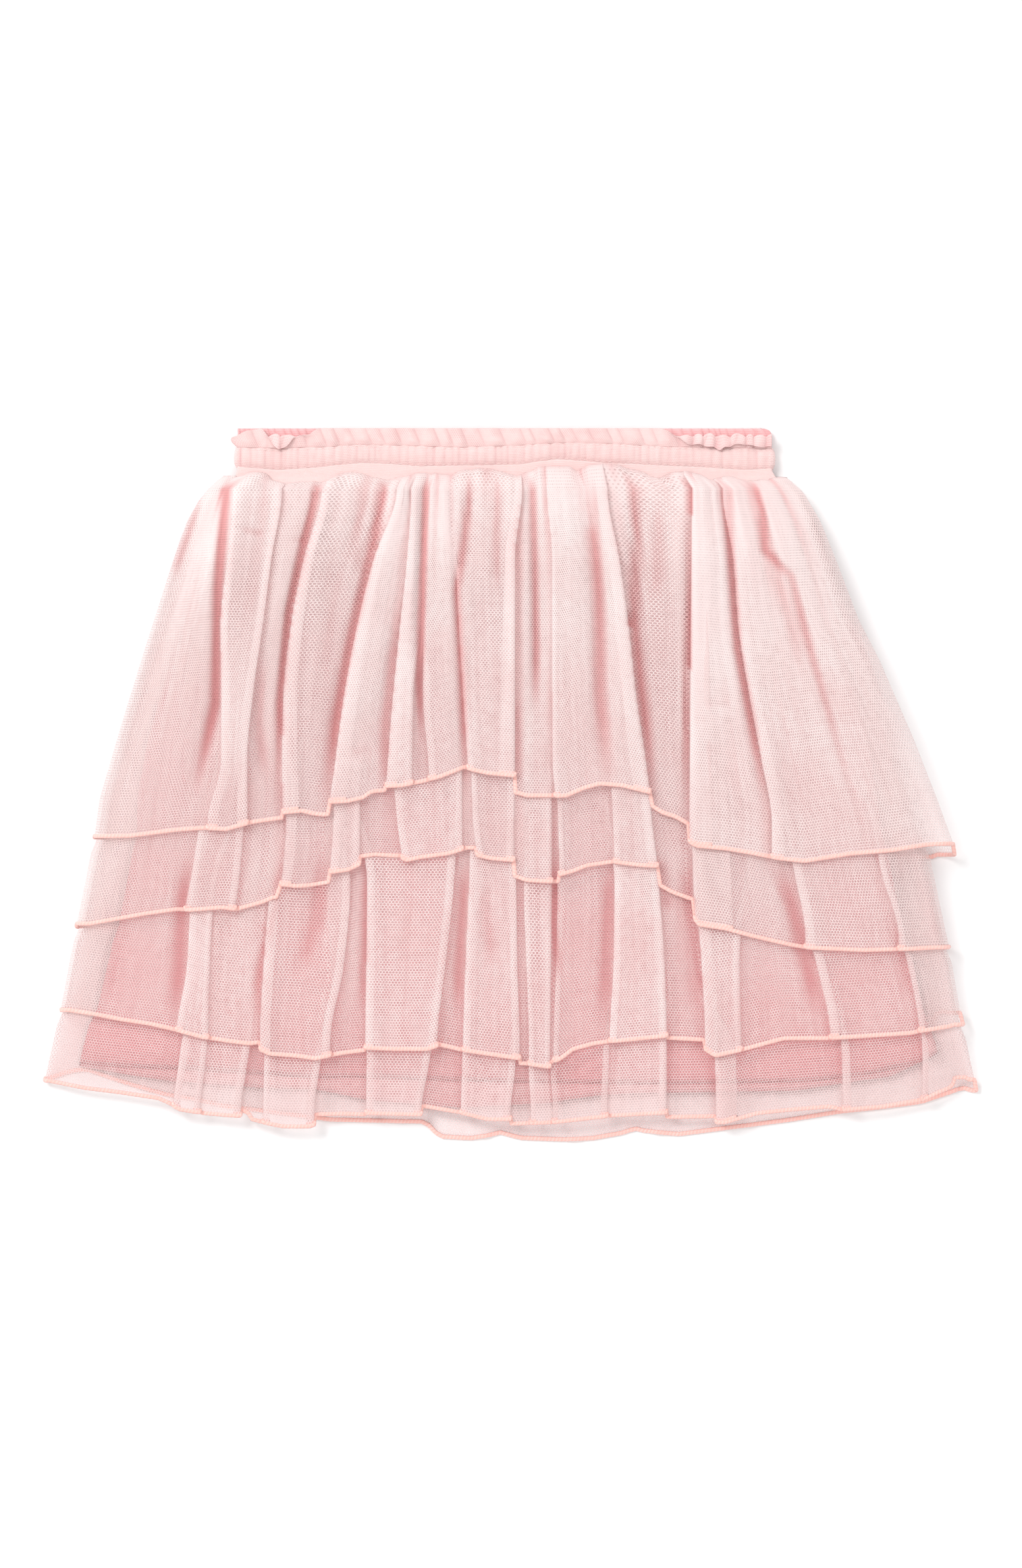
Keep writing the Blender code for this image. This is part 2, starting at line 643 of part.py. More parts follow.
def build_skirt():
    for item in list(bpy.data.objects):
        bpy.data.objects.remove(item, do_unlink=True)
    collection = bpy.data.collections.new(COLLECTION)
    bpy.context.scene.collection.children.link(collection)
    materials = {name: make_material(name) for name in COLOURS}

    for tier in range(1, TIERS + 1):
        for face, panel in (("front", front_tier), ("back", back_tier)):
            name = f"tulle_tier_{tier}_{face}"
            make_cloth(name, panel(tier), TULLE_WALL, materials["tulle"], collection)
    for face in ("front", "back"):
        points = lining_panel(face)
        make_cloth(f"lining_{face}", points, JERSEY_WALL, materials["lining"], collection)

    for face, profile in (("front", YOKE_FRONT), ("back", YOKE_BACK)):
        points = yoke_panel(profile)
        make_cloth(f"yoke_{face}", points, JERSEY_WALL, materials["yoke"], collection)
    casings = (
        ("front", CASING_FRONT_Z, FRONT_CASING_RELIEF),
        ("back", CASING_BACK_Z, BACK_CASING_RELIEF),
    )
    for face, base_z, relief in casings:
        points = casing_panel(base_z, relief)
        make_cloth(f"casing_{face}", points, CASING_WALL, materials["casing"], collection)
    frill = frill_panel(FRILL_PLAIN, FRILL_FLIPPED, FRONT_FRILL_PLEATS)
    make_cloth("frill_front", frill, JERSEY_WALL, materials["frill"], collection)
    frill = frill_panel(FRILL_BACK, FRILL_BACK, BACK_FRILL_PLEATS)
    make_cloth("frill_back", frill, JERSEY_WALL, materials["frill"], collection)
    facing = frill_panel(FACING_BACK, FACING_BACK, FACING_RUCHES)
    make_cloth("waist_facing_back", facing, JERSEY_WALL, materials["facing"], collection)


build_skirt()
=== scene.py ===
"""Tulle skirt laid flat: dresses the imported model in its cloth.

Each cloth is a surface worked out in millimetres on a grid.  X runs across the
skirt, +Y towards the waist and +Z up from the floor, and CENTRE moves a finished
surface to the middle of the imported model.
"""

import bpy
import numpy as np
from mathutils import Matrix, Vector


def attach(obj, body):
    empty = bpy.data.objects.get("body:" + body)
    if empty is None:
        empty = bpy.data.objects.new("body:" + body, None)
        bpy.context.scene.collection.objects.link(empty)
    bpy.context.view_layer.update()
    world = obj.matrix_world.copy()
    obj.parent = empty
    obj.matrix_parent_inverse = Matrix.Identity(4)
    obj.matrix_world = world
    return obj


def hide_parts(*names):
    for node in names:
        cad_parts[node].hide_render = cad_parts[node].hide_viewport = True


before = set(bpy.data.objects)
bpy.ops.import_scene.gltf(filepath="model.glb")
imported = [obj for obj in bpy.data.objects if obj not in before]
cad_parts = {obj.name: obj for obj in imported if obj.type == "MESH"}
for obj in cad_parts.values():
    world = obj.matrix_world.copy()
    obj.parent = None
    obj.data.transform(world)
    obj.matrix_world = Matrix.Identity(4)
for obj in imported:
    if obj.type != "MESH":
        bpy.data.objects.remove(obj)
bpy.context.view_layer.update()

bl_info = {
    "name": "Tulle skirt",
    "version": (1, 0, 0),
    "blender": (4, 5, 0),
    "location": "View3D > Sidebar > Skirt",
    "description": "Dresses a flat child's skirt in tulle tiers, jersey lining and a ruffled waist",
    "category": "Object",
}

MM = 0.001
CENTRE = np.array((0.0, -0.1, 0.016))
TIERS = 4

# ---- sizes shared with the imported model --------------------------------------

SEAM_Y = 138.6
INNER_SEAM_Y = 137.2
CHEST_Y = 105.1
HIP_Y = 58.6
STACK_COLUMNS = ("y", "pitch", "lining_back", "lining_front", "side_seam", "tier_4", "back_fold")
STACK = (
    (138.6, 1.36, 5.94, 7.54, 6.74, 8.90, 0.0),
    (105.1, 1.75, 9.60, 10.95, 10.28, 12.95, 2.4),
    (-40.0, 1.75, 9.60, 10.95, 10.28, 12.95, 2.2),
    (-127.0, 1.75, 5.40, 6.75, 6.08, 8.75, 1.4),
    (-141.0, 1.75, 3.70, 5.05, 4.40, 7.05, 1.2),
    (-155.0, 1.75, 3.10, 4.45, 2.35, 4.20, 1.0),
)
LEVEL_BREAK = -127.0
SKIRT_HEM_LEVEL = -155.0
LINING_HEM_LEVEL = -141.0
FLOOR_CLOTH_Z = 0.5

# Outline of the skirt: (y, x of the side).
LEFT_SIDE = (
    (145.4, -135.2), (141.0, -141.4), (133.0, -147.6), (123.7, -152.8), (114.4, -156.2),
    (CHEST_Y, -159.3), (77.2, -168.3), (HIP_Y, -174.2), (30.7, -182.9), (-6.5, -193.8),
    (-23.9, -196.2), (-66.7, -204.9), (-105.4, -212.3), (-138.9, -220.1),
)
RIGHT_SIDE = (
    (143.5, 130.5), (141.1, 134.5), (136.1, 138.9), (123.7, 146.0), (114.4, 149.7),
    (CHEST_Y, 153.4), (77.2, 164.0), (HIP_Y, 171.0), (21.4, 183.0), (-26.7, 195.8),
    (-76.3, 206.5), (-111.6, 212.7), (-145.1, 220.1),
)
# Tier 1 spreads past the others from above the hip down.
RIGHT_SIDE_TIER_1 = RIGHT_SIDE[:7] + ((HIP_Y, 173.6), (21.4, 189.7), (-6.5, 200.6), (-26.7, 208.0))
# The lining is narrower than the tulle over it.
LINING_INSET = (
    (SEAM_Y, 0.0), (CHEST_Y, 5.0), (16.7, 7.0), (-35.0, 13.3), (-80.0, 14.0), (-122.0, 12.0),
)

# ---- folds of the front ------------------------------------------------------

# y of the places at which each tier's folds have their x.
TIER_STATIONS = (
    (138.6, 105.1, 74.1, 43.1, 12.1, -18.9),
    (138.6, 74.1, 12.1, -15.8, -40.6, -71.6),
    (138.6, 74.1, -3.4, -46.8, -84.0, -121.2),
    (138.6, 74.1, -34.4, -115.0, -133.6, -155.3),
)
# Knife folds of each tier, left to right: (which panel lies on top, depth of the
# lap, y where it begins, whether the hem steps there, x at each place).  A program
# worked most of the x out from given lines.
TIER_FOLDS = (
    (
        ("over_left", 5, 138.6, 0, (-130.5, -133.0, -136.1, -135.8, -135.8, -142.3)),
        ("over_right", 5, 138.6, 0, (-107.3, -112.2, -116.2, -120.6, -123.4, -123.4)),
        ("over_left", 8, 138.6, 1, (-88.7, -97.3, -103.2, -106.6, -107.3, -107.0)),
        ("over_left", 8, 138.6, 1, (-53.6, -64.5, -72.2, -78.1, -82.2, -85.6)),
        ("over_left", 6, 138.6, 1, (-46.8, -48.8, -52.1, -55.2, -57.7, -59.5)),
        ("over_right", 4, 77.2, 0, (-38.4, -40.9, -41.9, -45.7, -46.2, -46.5)),
        ("over_left", 4, 77.2, 0, (-37.2, -40.0, -41.2, -41.3, -38.9, -37.5)),
        ("over_left", 3, 120.6, 0, (-27.3, -26.0, -24.5, -22.6, -20.5, -18.6)),
        ("over_right", 8, 138.6, 1, (5.3, 1.9, 1.9, 1.9, 1.9, 1.6)),
        ("over_left", 2.5, 138.6, 1, (16.7, 19.2, 19.2, 19.2, 19.4, 21.4)),
        ("over_right", 8, 138.6, 1, (45.3, 50.8, 55.2, 58.5, 63.0, 66.3)),
        ("over_left", 11, 138.6, 1, (84.9, 84.5, 84.2, 83.9, 83.7, 83.4)),
        ("over_left", 6, 138.6, 0, (99.2, 104.1, 106.4, 111.3, 117.1, 122.1)),
    ),
    (
        ("over_left", 3, 27.6, 0, (-130.5, -136.1, -138.8, -145.4, -149.5, -154.4)),
        ("over_right", 3.5, 27.6, 0, (-107.3, -116.2, -123.9, -125.0, -127.0, -130.2)),
        ("over_left", 5, 27.6, 1, (-88.7, -103.2, -106.6, -105.4, -107.0, -113.5)),
        ("over_left", 4.5, 27.6, 1, (-53.6, -72.2, -82.6, -83.2, -84.9, -86.8)),
        ("over_right", 3.5, 15.2, 1, (-50.6, -63.2, -70.9, -70.7, -71.0, -71.6)),
        ("over_left", 3.5, 27.6, 1, (-46.8, -52.1, -55.3, -53.6, -50.5, -49.0)),
        ("over_right", 3, 27.6, 0, (-28.3, -26.2, -22.9, -22.9, -22.6, -23.6)),
        ("over_left", 3, 27.6, 1, (-25.3, -22.9, -18.9, -18.0, -15.1, -12.7)),
        ("over_right", 4, 27.6, 1, (5.3, 1.9, 1.9, 1.6, 1.4, 2.5)),
        ("over_right", 2.5, 27.6, 0, (15.6, 17.5, 18.6, 19.2, 19.2, 19.2)),
        ("over_left", 2.5, 27.6, 1, (16.7, 19.2, 20.8, 21.9, 22.6, 22.0)),
        ("over_left", 3, 27.6, 0, (40.0, 43.1, 46.1, 47.7, 48.4, 48.4)),
        ("over_right", 4.5, 27.6, 1, (45.3, 55.2, 64.2, 66.0, 69.0, 71.0)),
        ("over_left", 18, 27.6, 1, (84.9, 84.2, 83.8, 84.4, 85.1, 86.2)),
        ("over_left", 4.5, 27.6, 0, (99.2, 106.4, 117.5, 127.5, 132.5, 137.9)),
        ("over_left", 3, 12.1, 0, (115.3, 137.6, 155.8, 169.0, 173.3, 181.7)),
    ),
    (
        ("over_left", 3.5, -3.4, 0, (-130.5, -136.1, -140.4, -150.0, -152.1, -157.5)),
        ("over_right", 3, -3.4, 0, (-107.3, -116.2, -125.2, -138.3, -141.2, -142.2)),
        ("over_left", 5, -3.4, 1, (-88.7, -103.2, -107.8, -112.8, -116.2, -117.9)),
        ("over_right", 4, -3.4, 0, (-56.1, -74.4, -84.2, -75.3, -78.4, -84.8)),
        ("over_left", 4, -3.4, 1, (-50.9, -64.2, -73.0, -67.6, -68.0, -68.5)),
        ("over_right", 4, -3.4, 1, (-29.8, -28.7, -24.5, -26.7, -30.6, -34.5)),
        ("over_left", 3.5, -3.4, 0, (-25.7, -23.2, -18.6, -19.8, -21.5, -22.5)),
        ("over_right", 3.5, -3.4, 1, (5.3, 1.9, 1.8, 2.5, 3.0, 4.1)),
        ("over_left", 2.5, -22.0, 0, (9.3, 7.9, 8.0, 5.9, 7.1, 8.3)),
        ("over_right", 2.5, -3.4, 1, (15.6, 17.5, 18.6, 19.2, 18.8, 18.4)),
        ("over_left", 2.5, -3.4, 0, (16.7, 19.2, 20.5, 21.7, 21.1, 20.0)),
        ("over_left", 3.5, -3.4, 0, (40.0, 43.1, 43.7, 48.4, 48.0, 46.2)),
        ("over_right", 4, -3.4, 1, (45.3, 55.2, 65.3, 69.4, 72.1, 73.2)),
        ("over_left", 6, -3.4, 1, (84.9, 84.2, 83.5, 86.2, 89.3, 91.0)),
        ("over_right", 3, -34.4, 0, (97.1, 103.1, 114.5, 110.5, 107.2, 108.1)),
        ("over_left", 4.5, -3.4, 0, (99.2, 106.4, 120.0, 130.5, 143.2, 150.0)),
        ("over_left", 3, -18.9, 0, (115.3, 137.6, 160.1, 172.5, 186.0, 191.9)),
    ),
    (
        ("over_left", 3.5, -96.4, 0, (-130.5, -136.1, -143.3, -154.1, -156.6, -159.3)),
        ("over_right", 3, -96.4, 0, (-107.3, -116.2, -125.3, -141.7, -143.8, -146.3)),
        ("over_right", 3.5, -96.4, 1, (-98.0, -109.7, -115.2, -121.4, -124.3, -127.1)),
        ("over_left", 3, -96.4, 0, (-88.7, -103.2, -107.0, -115.7, -116.1, -116.6)),
        ("over_right", 4, -96.4, 1, (-60.6, -78.4, -89.8, -86.2, -89.9, -92.4)),
        ("over_left", 3.5, -96.4, 1, (-50.9, -64.2, -75.1, -67.9, -68.0, -68.2)),
        ("over_right", 3.5, -96.4, 1, (-29.8, -28.7, -23.3, -35.6, -38.9, -42.2)),
        ("over_left", 3, -96.4, 0, (-25.7, -23.2, -17.6, -22.6, -23.1, -23.6)),
        ("over_right", 3.5, -96.4, 1, (5.3, 1.9, 1.6, 2.9, 2.0, -0.1)),
        ("over_left", 2.5, -102.6, 0, (11.0, 10.5, 11.5, 8.4, 8.3, 9.3)),
        ("over_left", 2.5, -96.4, 0, (16.7, 19.2, 21.4, 18.6, 18.6, 19.8)),
        ("over_right", 3, -96.4, 0, (40.0, 43.1, 43.1, 46.4, 45.9, 45.3)),
        ("over_right", 3.5, -96.4, 1, (45.3, 55.2, 66.3, 73.1, 73.2, 73.2)),
        ("over_left", 10, -96.4, 1, (84.9, 84.2, 83.4, 94.9, 95.9, 96.4)),
        ("over_left", 4, -96.4, 0, (99.2, 106.4, 122.1, 154.4, 155.6, 156.2)),
        ("over_left", 3, -96.4, 0, (115.3, 137.6, 165.5, 192.4, 193.4, 193.4)),
    ),
)
# How many layers of its net lie in each stretch of a tier, left to right: one
# before the first fold, one between two folds and one after the last.
TIER_LAYERS = (
    (0.9, 1.2, 0.85, 1.1, 1.9, 2.2, 1.1, 1.8, 2.1, 1.9, 1.8, 1.5, 2.5, 2.0),
    (1.0, 1.4, 1.4, 1.1, 1.8, 1.1, 2.0, 1.2, 1.5, 1.9, 1.0, 1.1, 1.8, 1.2, 1.3, 1.6, 1.3),
    (
        1.0, 2.0, 2.0, 1.4, 1.0, 2.1, 1.0, 1.7, 1.0, 2.1, 1.0, 1.1, 2.1, 1.2, 2.0, 1.1, 1.2,
        1.1,
    ),
    (1.0, 2.0, 2.0, 1.0, 1.9, 1.0, 2.0, 1.0, 2.0, 1.0, 2.0, 1.0, 2.0, 1.0, 1.0, 1.1, 1.2),
)
# Hem of each tier's front, a line of (x, y) for each piece between two steps.
TIER_HEMS = (
    (
        (
            (-196.2, -24.5), (-178.6, -24.2), (-156.9, -21.4), (-144.5, -20.5), (-133.6, -21.1),
            (-121.2, -17.7), (-108.2, -15.8),
        ),
        ((-107.0, -13.3), (-98.0, -12.4), (-91.8, -13.9), (-86.2, -14.3), (-83.1, -13.0)),
        ((-84.9, -8.4), (-76.3, -7.8), (-69.4, -6.2), (-65.4, -3.4), (-54.6, -2.5)),
        (
            (-58.6, -0.9), (-51.5, -0.6), (-42.2, 1.2), (-32.9, 3.7), (-23.6, 7.4), (-21.1, 8.4),
            (-19.5, 7.1), (-11.2, 5.3), (1.9, 4.0),
        ),
        ((3.1, -4.0), (7.4, -5.3), (19.8, -5.3)),
        ((20.5, -5.6), (26.0, -5.3), (33.8, -1.9), (41.5, 0.3), (52.4, -0.6), (64.8, -3.7)),
        ((65.7, -9.9), (71.0, -13.3), (77.2, -15.2), (83.1, -18.6)),
        (
            (83.4, -26.7), (86.5, -28.8), (100.4, -30.1), (112.8, -32.2), (125.2, -34.7),
            (137.6, -36.0), (159.3, -32.5), (177.9, -31.0), (193.4, -28.5), (208.0, -27.3),
        ),
    ),
    (
        (
            (-204.9, -66.7), (-191.0, -64.2), (-172.4, -60.8), (-156.9, -58.6), (-150.7, -58.9),
            (-135.2, -57.7), (-129.0, -58.6), (-116.6, -55.2), (-111.6, -53.0),
        ),
        ((-108.5, -46.8), (-101.1, -47.7), (-94.9, -47.4), (-84.0, -45.6)),
        ((-84.6, -41.2), (-76.3, -40.0), (-71.0, -37.5)),
        ((-70.4, -33.8), (-63.9, -32.9), (-54.6, -33.5), (-50.8, -33.5)),
        ((-51.5, -34.4), (-49.0, -35.6), (-42.2, -34.1), (-29.8, -32.5), (-20.5, -29.8)),
        ((-19.8, -30.1), (-15.8, -33.2), (-9.6, -34.7), (1.2, -35.6)),
        ((2.2, -43.1), (7.4, -45.0), (19.8, -45.6)),
        ((22.3, -42.5), (29.1, -40.6), (35.3, -38.1), (47.7, -36.3), (60.1, -37.8), (68.8, -38.4)),
        ((69.4, -47.1), (75.6, -50.5), (84.9, -53.9)),
        (
            (85.6, -62.3), (88.0, -65.7), (100.4, -67.6), (112.8, -71.0), (131.4, -75.3),
            (139.2, -76.6), (165.5, -77.8), (187.2, -77.2), (206.5, -76.3),
        ),
    ),
    (
        (
            (-212.3, -105.4), (-194.1, -108.2), (-183.2, -110.4), (-169.3, -112.5), (-158.4, -115.0),
            (-144.5, -118.7), (-132.1, -120.6), (-122.8, -121.8), (-118.7, -121.2),
        ),
        (
            (-117.8, -124.3), (-113.5, -126.5), (-101.1, -127.4), (-91.8, -128.7), (-85.6, -127.4),
            (-79.4, -126.2), (-69.1, -124.9),
        ),
        ((-68.5, -123.7), (-54.6, -124.3), (-39.1, -124.3), (-35.0, -122.8)),
        ((-34.4, -122.1), (-29.8, -123.1), (-23.6, -124.6), (-11.2, -126.5), (4.3, -128.7)),
        ((6.8, -131.1), (18.3, -132.7)),
        (
            (18.6, -130.5), (22.9, -129.0), (29.1, -124.3), (38.4, -121.8), (44.6, -120.9),
            (57.0, -119.7), (72.5, -118.1),
        ),
        ((72.5, -119.0), (90.5, -120.0)),
        (
            (91.1, -124.3), (95.8, -127.4), (109.7, -124.3), (128.3, -119.3), (146.9, -119.3),
            (162.4, -118.4), (187.2, -116.9), (193.4, -115.6), (205.8, -113.8), (212.7, -111.6),
        ),
    ),
    (
        (
            (-219.5, -139.2), (-200.3, -142.9), (-184.8, -144.8), (-166.2, -147.6), (-160.6, -150.0),
            (-156.2, -152.8), (-144.5, -154.7), (-133.6, -155.6), (-128.3, -155.9),
        ),
        (
            (-127.1, -152.8), (-122.8, -155.3), (-122.1, -157.5), (-116.6, -159.0), (-107.3, -160.9),
            (-94.9, -160.9), (-88.7, -159.0),
        ),
        ((-90.5, -155.3), (-79.4, -155.0), (-69.4, -155.3)),
        ((-67.0, -154.7), (-42.2, -155.3)),
        ((-41.5, -151.3), (-23.6, -154.4), (-11.2, -157.5), (0.6, -157.5)),
        ((1.2, -159.7), (19.8, -159.0), (46.2, -155.9), (72.5, -154.4)),
        ((72.5, -156.6), (96.7, -156.2)),
        (
            (100.4, -159.0), (115.9, -154.7), (131.4, -153.1), (150.0, -151.6), (156.2, -153.1),
            (174.8, -151.6), (193.4, -148.5), (201.2, -144.8), (207.4, -142.3), (208.9, -137.9),
            (215.1, -137.9), (220.1, -145.1),
        ),
    ),
)

# Creases and soft ridges pressed into the front: (height, half width, the line that
# it follows).  A program traced them all but the last four, which were set one by one.
CREASES = (
    (-0.6, 7.5, ((-182.9, -53.0), (-187.2, -79.0), (-193.8, -105.1))),
    (-1.6, 4.1, ((-151.0, -31.3), (-154.4, -57.4), (-156.2, -87.7), (-159.3, -113.8))),
    (0.6, 7.5, ((-149.7, 59.8), (-152.5, 25.1), (-162.8, -9.6))),
    (-1.4, 3.0, ((-145.3, 138.6), (-150.7, 120.6), (-155.6, 107.6), (-160.3, 94.5))),
    (-2.4, 3.0, ((-133.6, 138.6), (-137.3, 90.2), (-138.6, 38.1), (-149.1, -9.6))),
    (1.4, 7.5, ((-124.9, 138.6), (-126.8, 116.2), (-131.4, 72.8), (-130.8, 33.8), (-137.3, -9.6))),
    (-1.0, 3.2, ((-115.6, 64.2), (-118.1, 29.4), (-115.6, -0.9))),
    (1.4, 7.5, ((-114.4, 94.5), (-120.9, 59.8), (-125.2, 25.1), (-128.0, -9.6))),
    (0.9, 6.5, ((-107.3, 138.6), (-108.5, 111.9), (-109.7, 90.2), (-110.0, 68.5))),
    (-0.9, 2.2, ((-107.0, -31.3), (-110.7, -57.4), (-118.1, -87.7), (-120.3, -113.8))),
    (0.6, 7.5, ((-101.1, 64.2), (-103.2, 29.4), (-102.9, -9.6))),
    (-2.2, 2.1, ((-91.3, 138.6), (-93.0, 129.3), (-104.2, 81.5), (-108.2, 38.1), (-108.5, -9.6))),
    (1.2, 4.9, ((-90.8, 138.6), (-91.1, 116.2), (-91.8, 72.8), (-92.7, 33.8), (-94.9, -9.6))),
    (-1.2, 4.9, ((-87.4, -31.3), (-90.8, -61.7), (-100.1, -92.1))),
    (1.4, 7.3, ((-73.2, 16.4), (-71.9, 3.4), (-73.2, -9.6))),
    (-0.8, 3.7, ((-69.9, 138.6), (-70.7, 124.9), (-71.9, 107.6), (-73.2, 94.5))),
    (-0.8, 2.6, ((-67.3, -31.3), (-67.9, -57.4), (-68.8, -87.7), (-69.4, -113.8))),
    (1.0, 7.5, ((-59.8, 81.5), (-63.2, 55.5), (-69.1, 25.1))),
    (-2.4, 3.2, ((-59.7, 138.6), (-65.4, 107.6), (-74.4, 68.5), (-81.8, 29.4), (-86.8, -9.6))),
    (1.0, 7.3, ((-51.7, 138.6), (-53.6, 129.3), (-65.7, 81.5), (-74.4, 38.1), (-79.0, -9.6))),
    (-1.1, 3.4, ((-51.5, 90.2), (-56.4, 55.5), (-59.2, 25.1), (-58.9, -9.6))),
    (1.0, 3.9, ((-43.7, 138.6), (-46.2, 90.2), (-48.7, 38.1), (-52.1, -9.6))),
    (-2.2, 2.1, ((-40.4, 138.6), (-40.9, 116.2), (-41.9, 81.5), (-43.1, 46.8), (-41.5, 12.1))),
    (0.7, 6.5, ((-29.6, 138.6), (-29.8, 120.6), (-30.4, 77.2), (-29.4, 33.8), (-30.4, -9.6))),
    (-1.3, 3.2, ((-21.1, -31.3), (-22.6, -57.4), (-24.5, -87.7), (-25.1, -113.8))),
    (-1.7, 2.4, ((-18.9, 138.6), (-25.1, 90.2), (-22.6, 42.5), (-20.8, -9.6))),
    (-0.6, 4.5, ((-15.5, -44.3), (-11.2, -66.0), (-7.1, -87.7))),
    (0.8, 5.8, ((-15.2, 138.6), (-13.3, 107.6), (-13.3, 81.5))),
    (0.4, 3.5, ((-13.9, 68.5), (-11.5, 51.1), (-9.9, 29.4))),
    (-0.8, 2.1, ((-5.9, 138.6), (-7.1, 116.2), (-6.5, 85.9))),
    (0.6, 2.2, ((-1.2, 138.6), (0.3, 90.2), (-1.2, 42.5), (-2.2, -9.6))),
    (-0.6, 2.1, ((2.5, 46.8), (2.8, 20.8), (2.8, -5.3))),
    (0.6, 1.9, ((6.6, 138.6), (6.8, 116.2), (7.1, 81.5), (6.8, 51.1))),
    (-1.5, 2.2, ((9.9, 138.6), (11.2, 98.9), (11.8, 64.2), (11.2, 29.4))),
    (0.7, 7.5, ((13.6, 138.6), (14.9, 124.9), (18.0, 98.9), (19.8, 68.5), (20.1, 42.5))),
    (0.5, 7.5, ((20.1, 33.8), (19.5, 12.1), (17.4, -9.6))),
    (-1.3, 1.9, ((20.8, -31.3), (20.5, -66.0), (23.2, -96.4))),
    (0.8, 6.9, ((26.7, 138.6), (28.5, 107.6), (31.3, 68.5), (30.4, 29.4), (30.4, -9.6))),
    (0.6, 4.5, ((33.5, 138.6), (34.4, 129.3), (36.6, 116.2))),
    (-1.7, 4.1, ((39.1, 138.6), (41.2, 90.2), (41.5, 42.5), (46.8, -9.6))),
    (1.5, 4.3, ((43.5, 138.6), (45.6, 120.6), (51.8, 77.2), (56.7, 33.8), (62.0, -9.6))),
    (-1.2, 3.5, ((46.2, -31.3), (45.6, -57.4), (44.3, -87.7), (43.1, -113.8))),
    (0.6, 1.9, ((54.4, 138.6), (54.9, 120.6), (55.2, 111.9), (54.9, 98.9))),
    (-1.6, 3.4, ((58.8, 138.6), (58.6, 107.6), (58.3, 68.5), (62.9, 29.4), (66.7, -9.6))),
    (0.7, 3.7, ((67.3, 138.6), (76.9, 116.2), (77.8, 85.9))),
    (-0.8, 3.2, ((68.1, 138.6), (68.2, 124.9), (68.5, 98.9), (65.1, 77.2))),
    (-0.9, 4.1, ((69.4, -31.3), (71.6, -48.7), (75.0, -61.7))),
    (-1.4, 7.5, ((82.2, -31.3), (83.1, -57.4), (87.1, -87.7), (87.7, -113.8))),
    (-1.6, 2.1, ((84.0, 138.6), (83.7, 90.2), (82.8, 42.5), (82.2, -9.6))),
    (0.9, 7.1, ((88.3, 138.6), (88.7, 90.2), (88.3, 42.5), (88.7, -9.6))),
    (0.7, 7.5, ((97.3, 38.1), (97.7, 29.4), (94.5, 16.4))),
    (-1.9, 3.2, ((101.8, 138.6), (103.8, 103.2), (106.6, 64.2), (113.2, 29.4), (119.3, -9.6))),
    (0.7, 5.0, ((104.5, 138.6), (111.9, 103.2), (116.9, 77.2), (120.3, 46.8))),
    (0.7, 4.5, ((109.7, 16.4), (111.0, 3.4), (112.5, -9.6))),
    (-1.2, 5.2, ((114.1, 138.6), (120.0, 111.9), (132.4, 77.2), (139.5, 46.8))),
    (0.6, 3.7, ((119.3, 38.1), (123.4, 12.1), (128.3, -9.6))),
    (-1.6, 4.7, ((121.8, -31.3), (131.4, -57.4), (139.5, -87.7), (145.1, -113.8))),
    (-0.5, 5.6, ((178.2, -57.4), (184.8, -83.4), (189.7, -105.1))),
    (-0.5, 6.2, ((195.3, -35.6), (197.8, -57.4), (203.7, -79.0))),
    (-0.6, 1.6, ((-133.6, 122.1), (-123.4, 118.7), (-113.5, 116.9))),
    (-0.5, 1.5, ((-107.3, 114.4), (-95.5, 114.4))),
    (-1.4, 2.0, ((56.1, 81.8), (54.6, 72.5))),
    (-1.0, 2.2, (
        (115.3, 138.6), (118.4, 128.3), (119.3, 109.7), (131.4, 97.3), (136.1, 80.3),
        (142.3, 55.5), (154.7, 12.1), (168.6, -31.3),
    )),
)

# Crest of the gathers over the yoke: (x, y).
PUFF_TOP = (
    (-135.2, 145.4), (-129.0, 146.6), (-122.8, 146.0), (-116.6, 142.6), (-107.3, 140.7),
    (-101.1, 141.7), (-90.2, 142.3), (-85.6, 145.4), (-79.4, 146.6), (-71.6, 145.1),
    (-60.8, 143.5), (-54.6, 143.8), (-46.8, 145.7), (-39.1, 146.0), (-29.8, 144.8),
    (-25.1, 147.2), (-17.4, 148.2), (-9.6, 148.2), (-3.4, 146.3), (3.4, 144.2),
    (7.4, 146.3), (13.6, 149.1), (29.1, 149.1), (32.2, 146.6), (38.4, 149.7),
    (50.8, 150.7), (63.2, 147.9), (71.9, 143.8), (78.7, 146.6), (84.9, 147.2),
    (94.2, 144.8), (98.0, 142.9), (103.5, 144.2), (109.7, 144.5), (119.0, 142.3),
    (129.9, 143.8), (134.5, 141.1),
)
# Roll of the gathers over the yoke, from inside out: (y from the crest, height
# above the yoke, share of the way to the seam row).
PUFF_ROLL = (
    (-2.4, 0.6, 0.0), (-0.5, 0.9, 0.0), (0.0, 1.8, 0.0), (-0.6, 3.0, 0.15), (-1.9, 3.6, 0.45),
)
# The same roll at the back: (y, z).
BACK_ROLL = ((143.2, 1.6), (144.6, 1.2), (145.0, 0.9), (144.4, 0.6), (142.6, 0.5))
YOKE_RISE = ((148.2, 4.2), (145.0, 5.2), (141.0, 7.7), (138.9, 8.0))

# ---- back --------------------------------------------------------------------

# Folds of the back: x of each at the three places y.
BACK_FOLD_Y = (SEAM_Y, 40.0, -155.0)
BACK_FOLDS = (
    (-112.0, -140.0, -172.0), (-86.0, -104.0, -128.0), (-62.0, -70.0, -84.0),
    (-34.0, -40.0, -52.0), (-10.0, -8.0, -12.0), (16.0, 24.0, 30.0),
    (44.0, 58.0, 70.0), (72.0, 92.0, 112.0), (100.0, 128.0, 158.0),
)
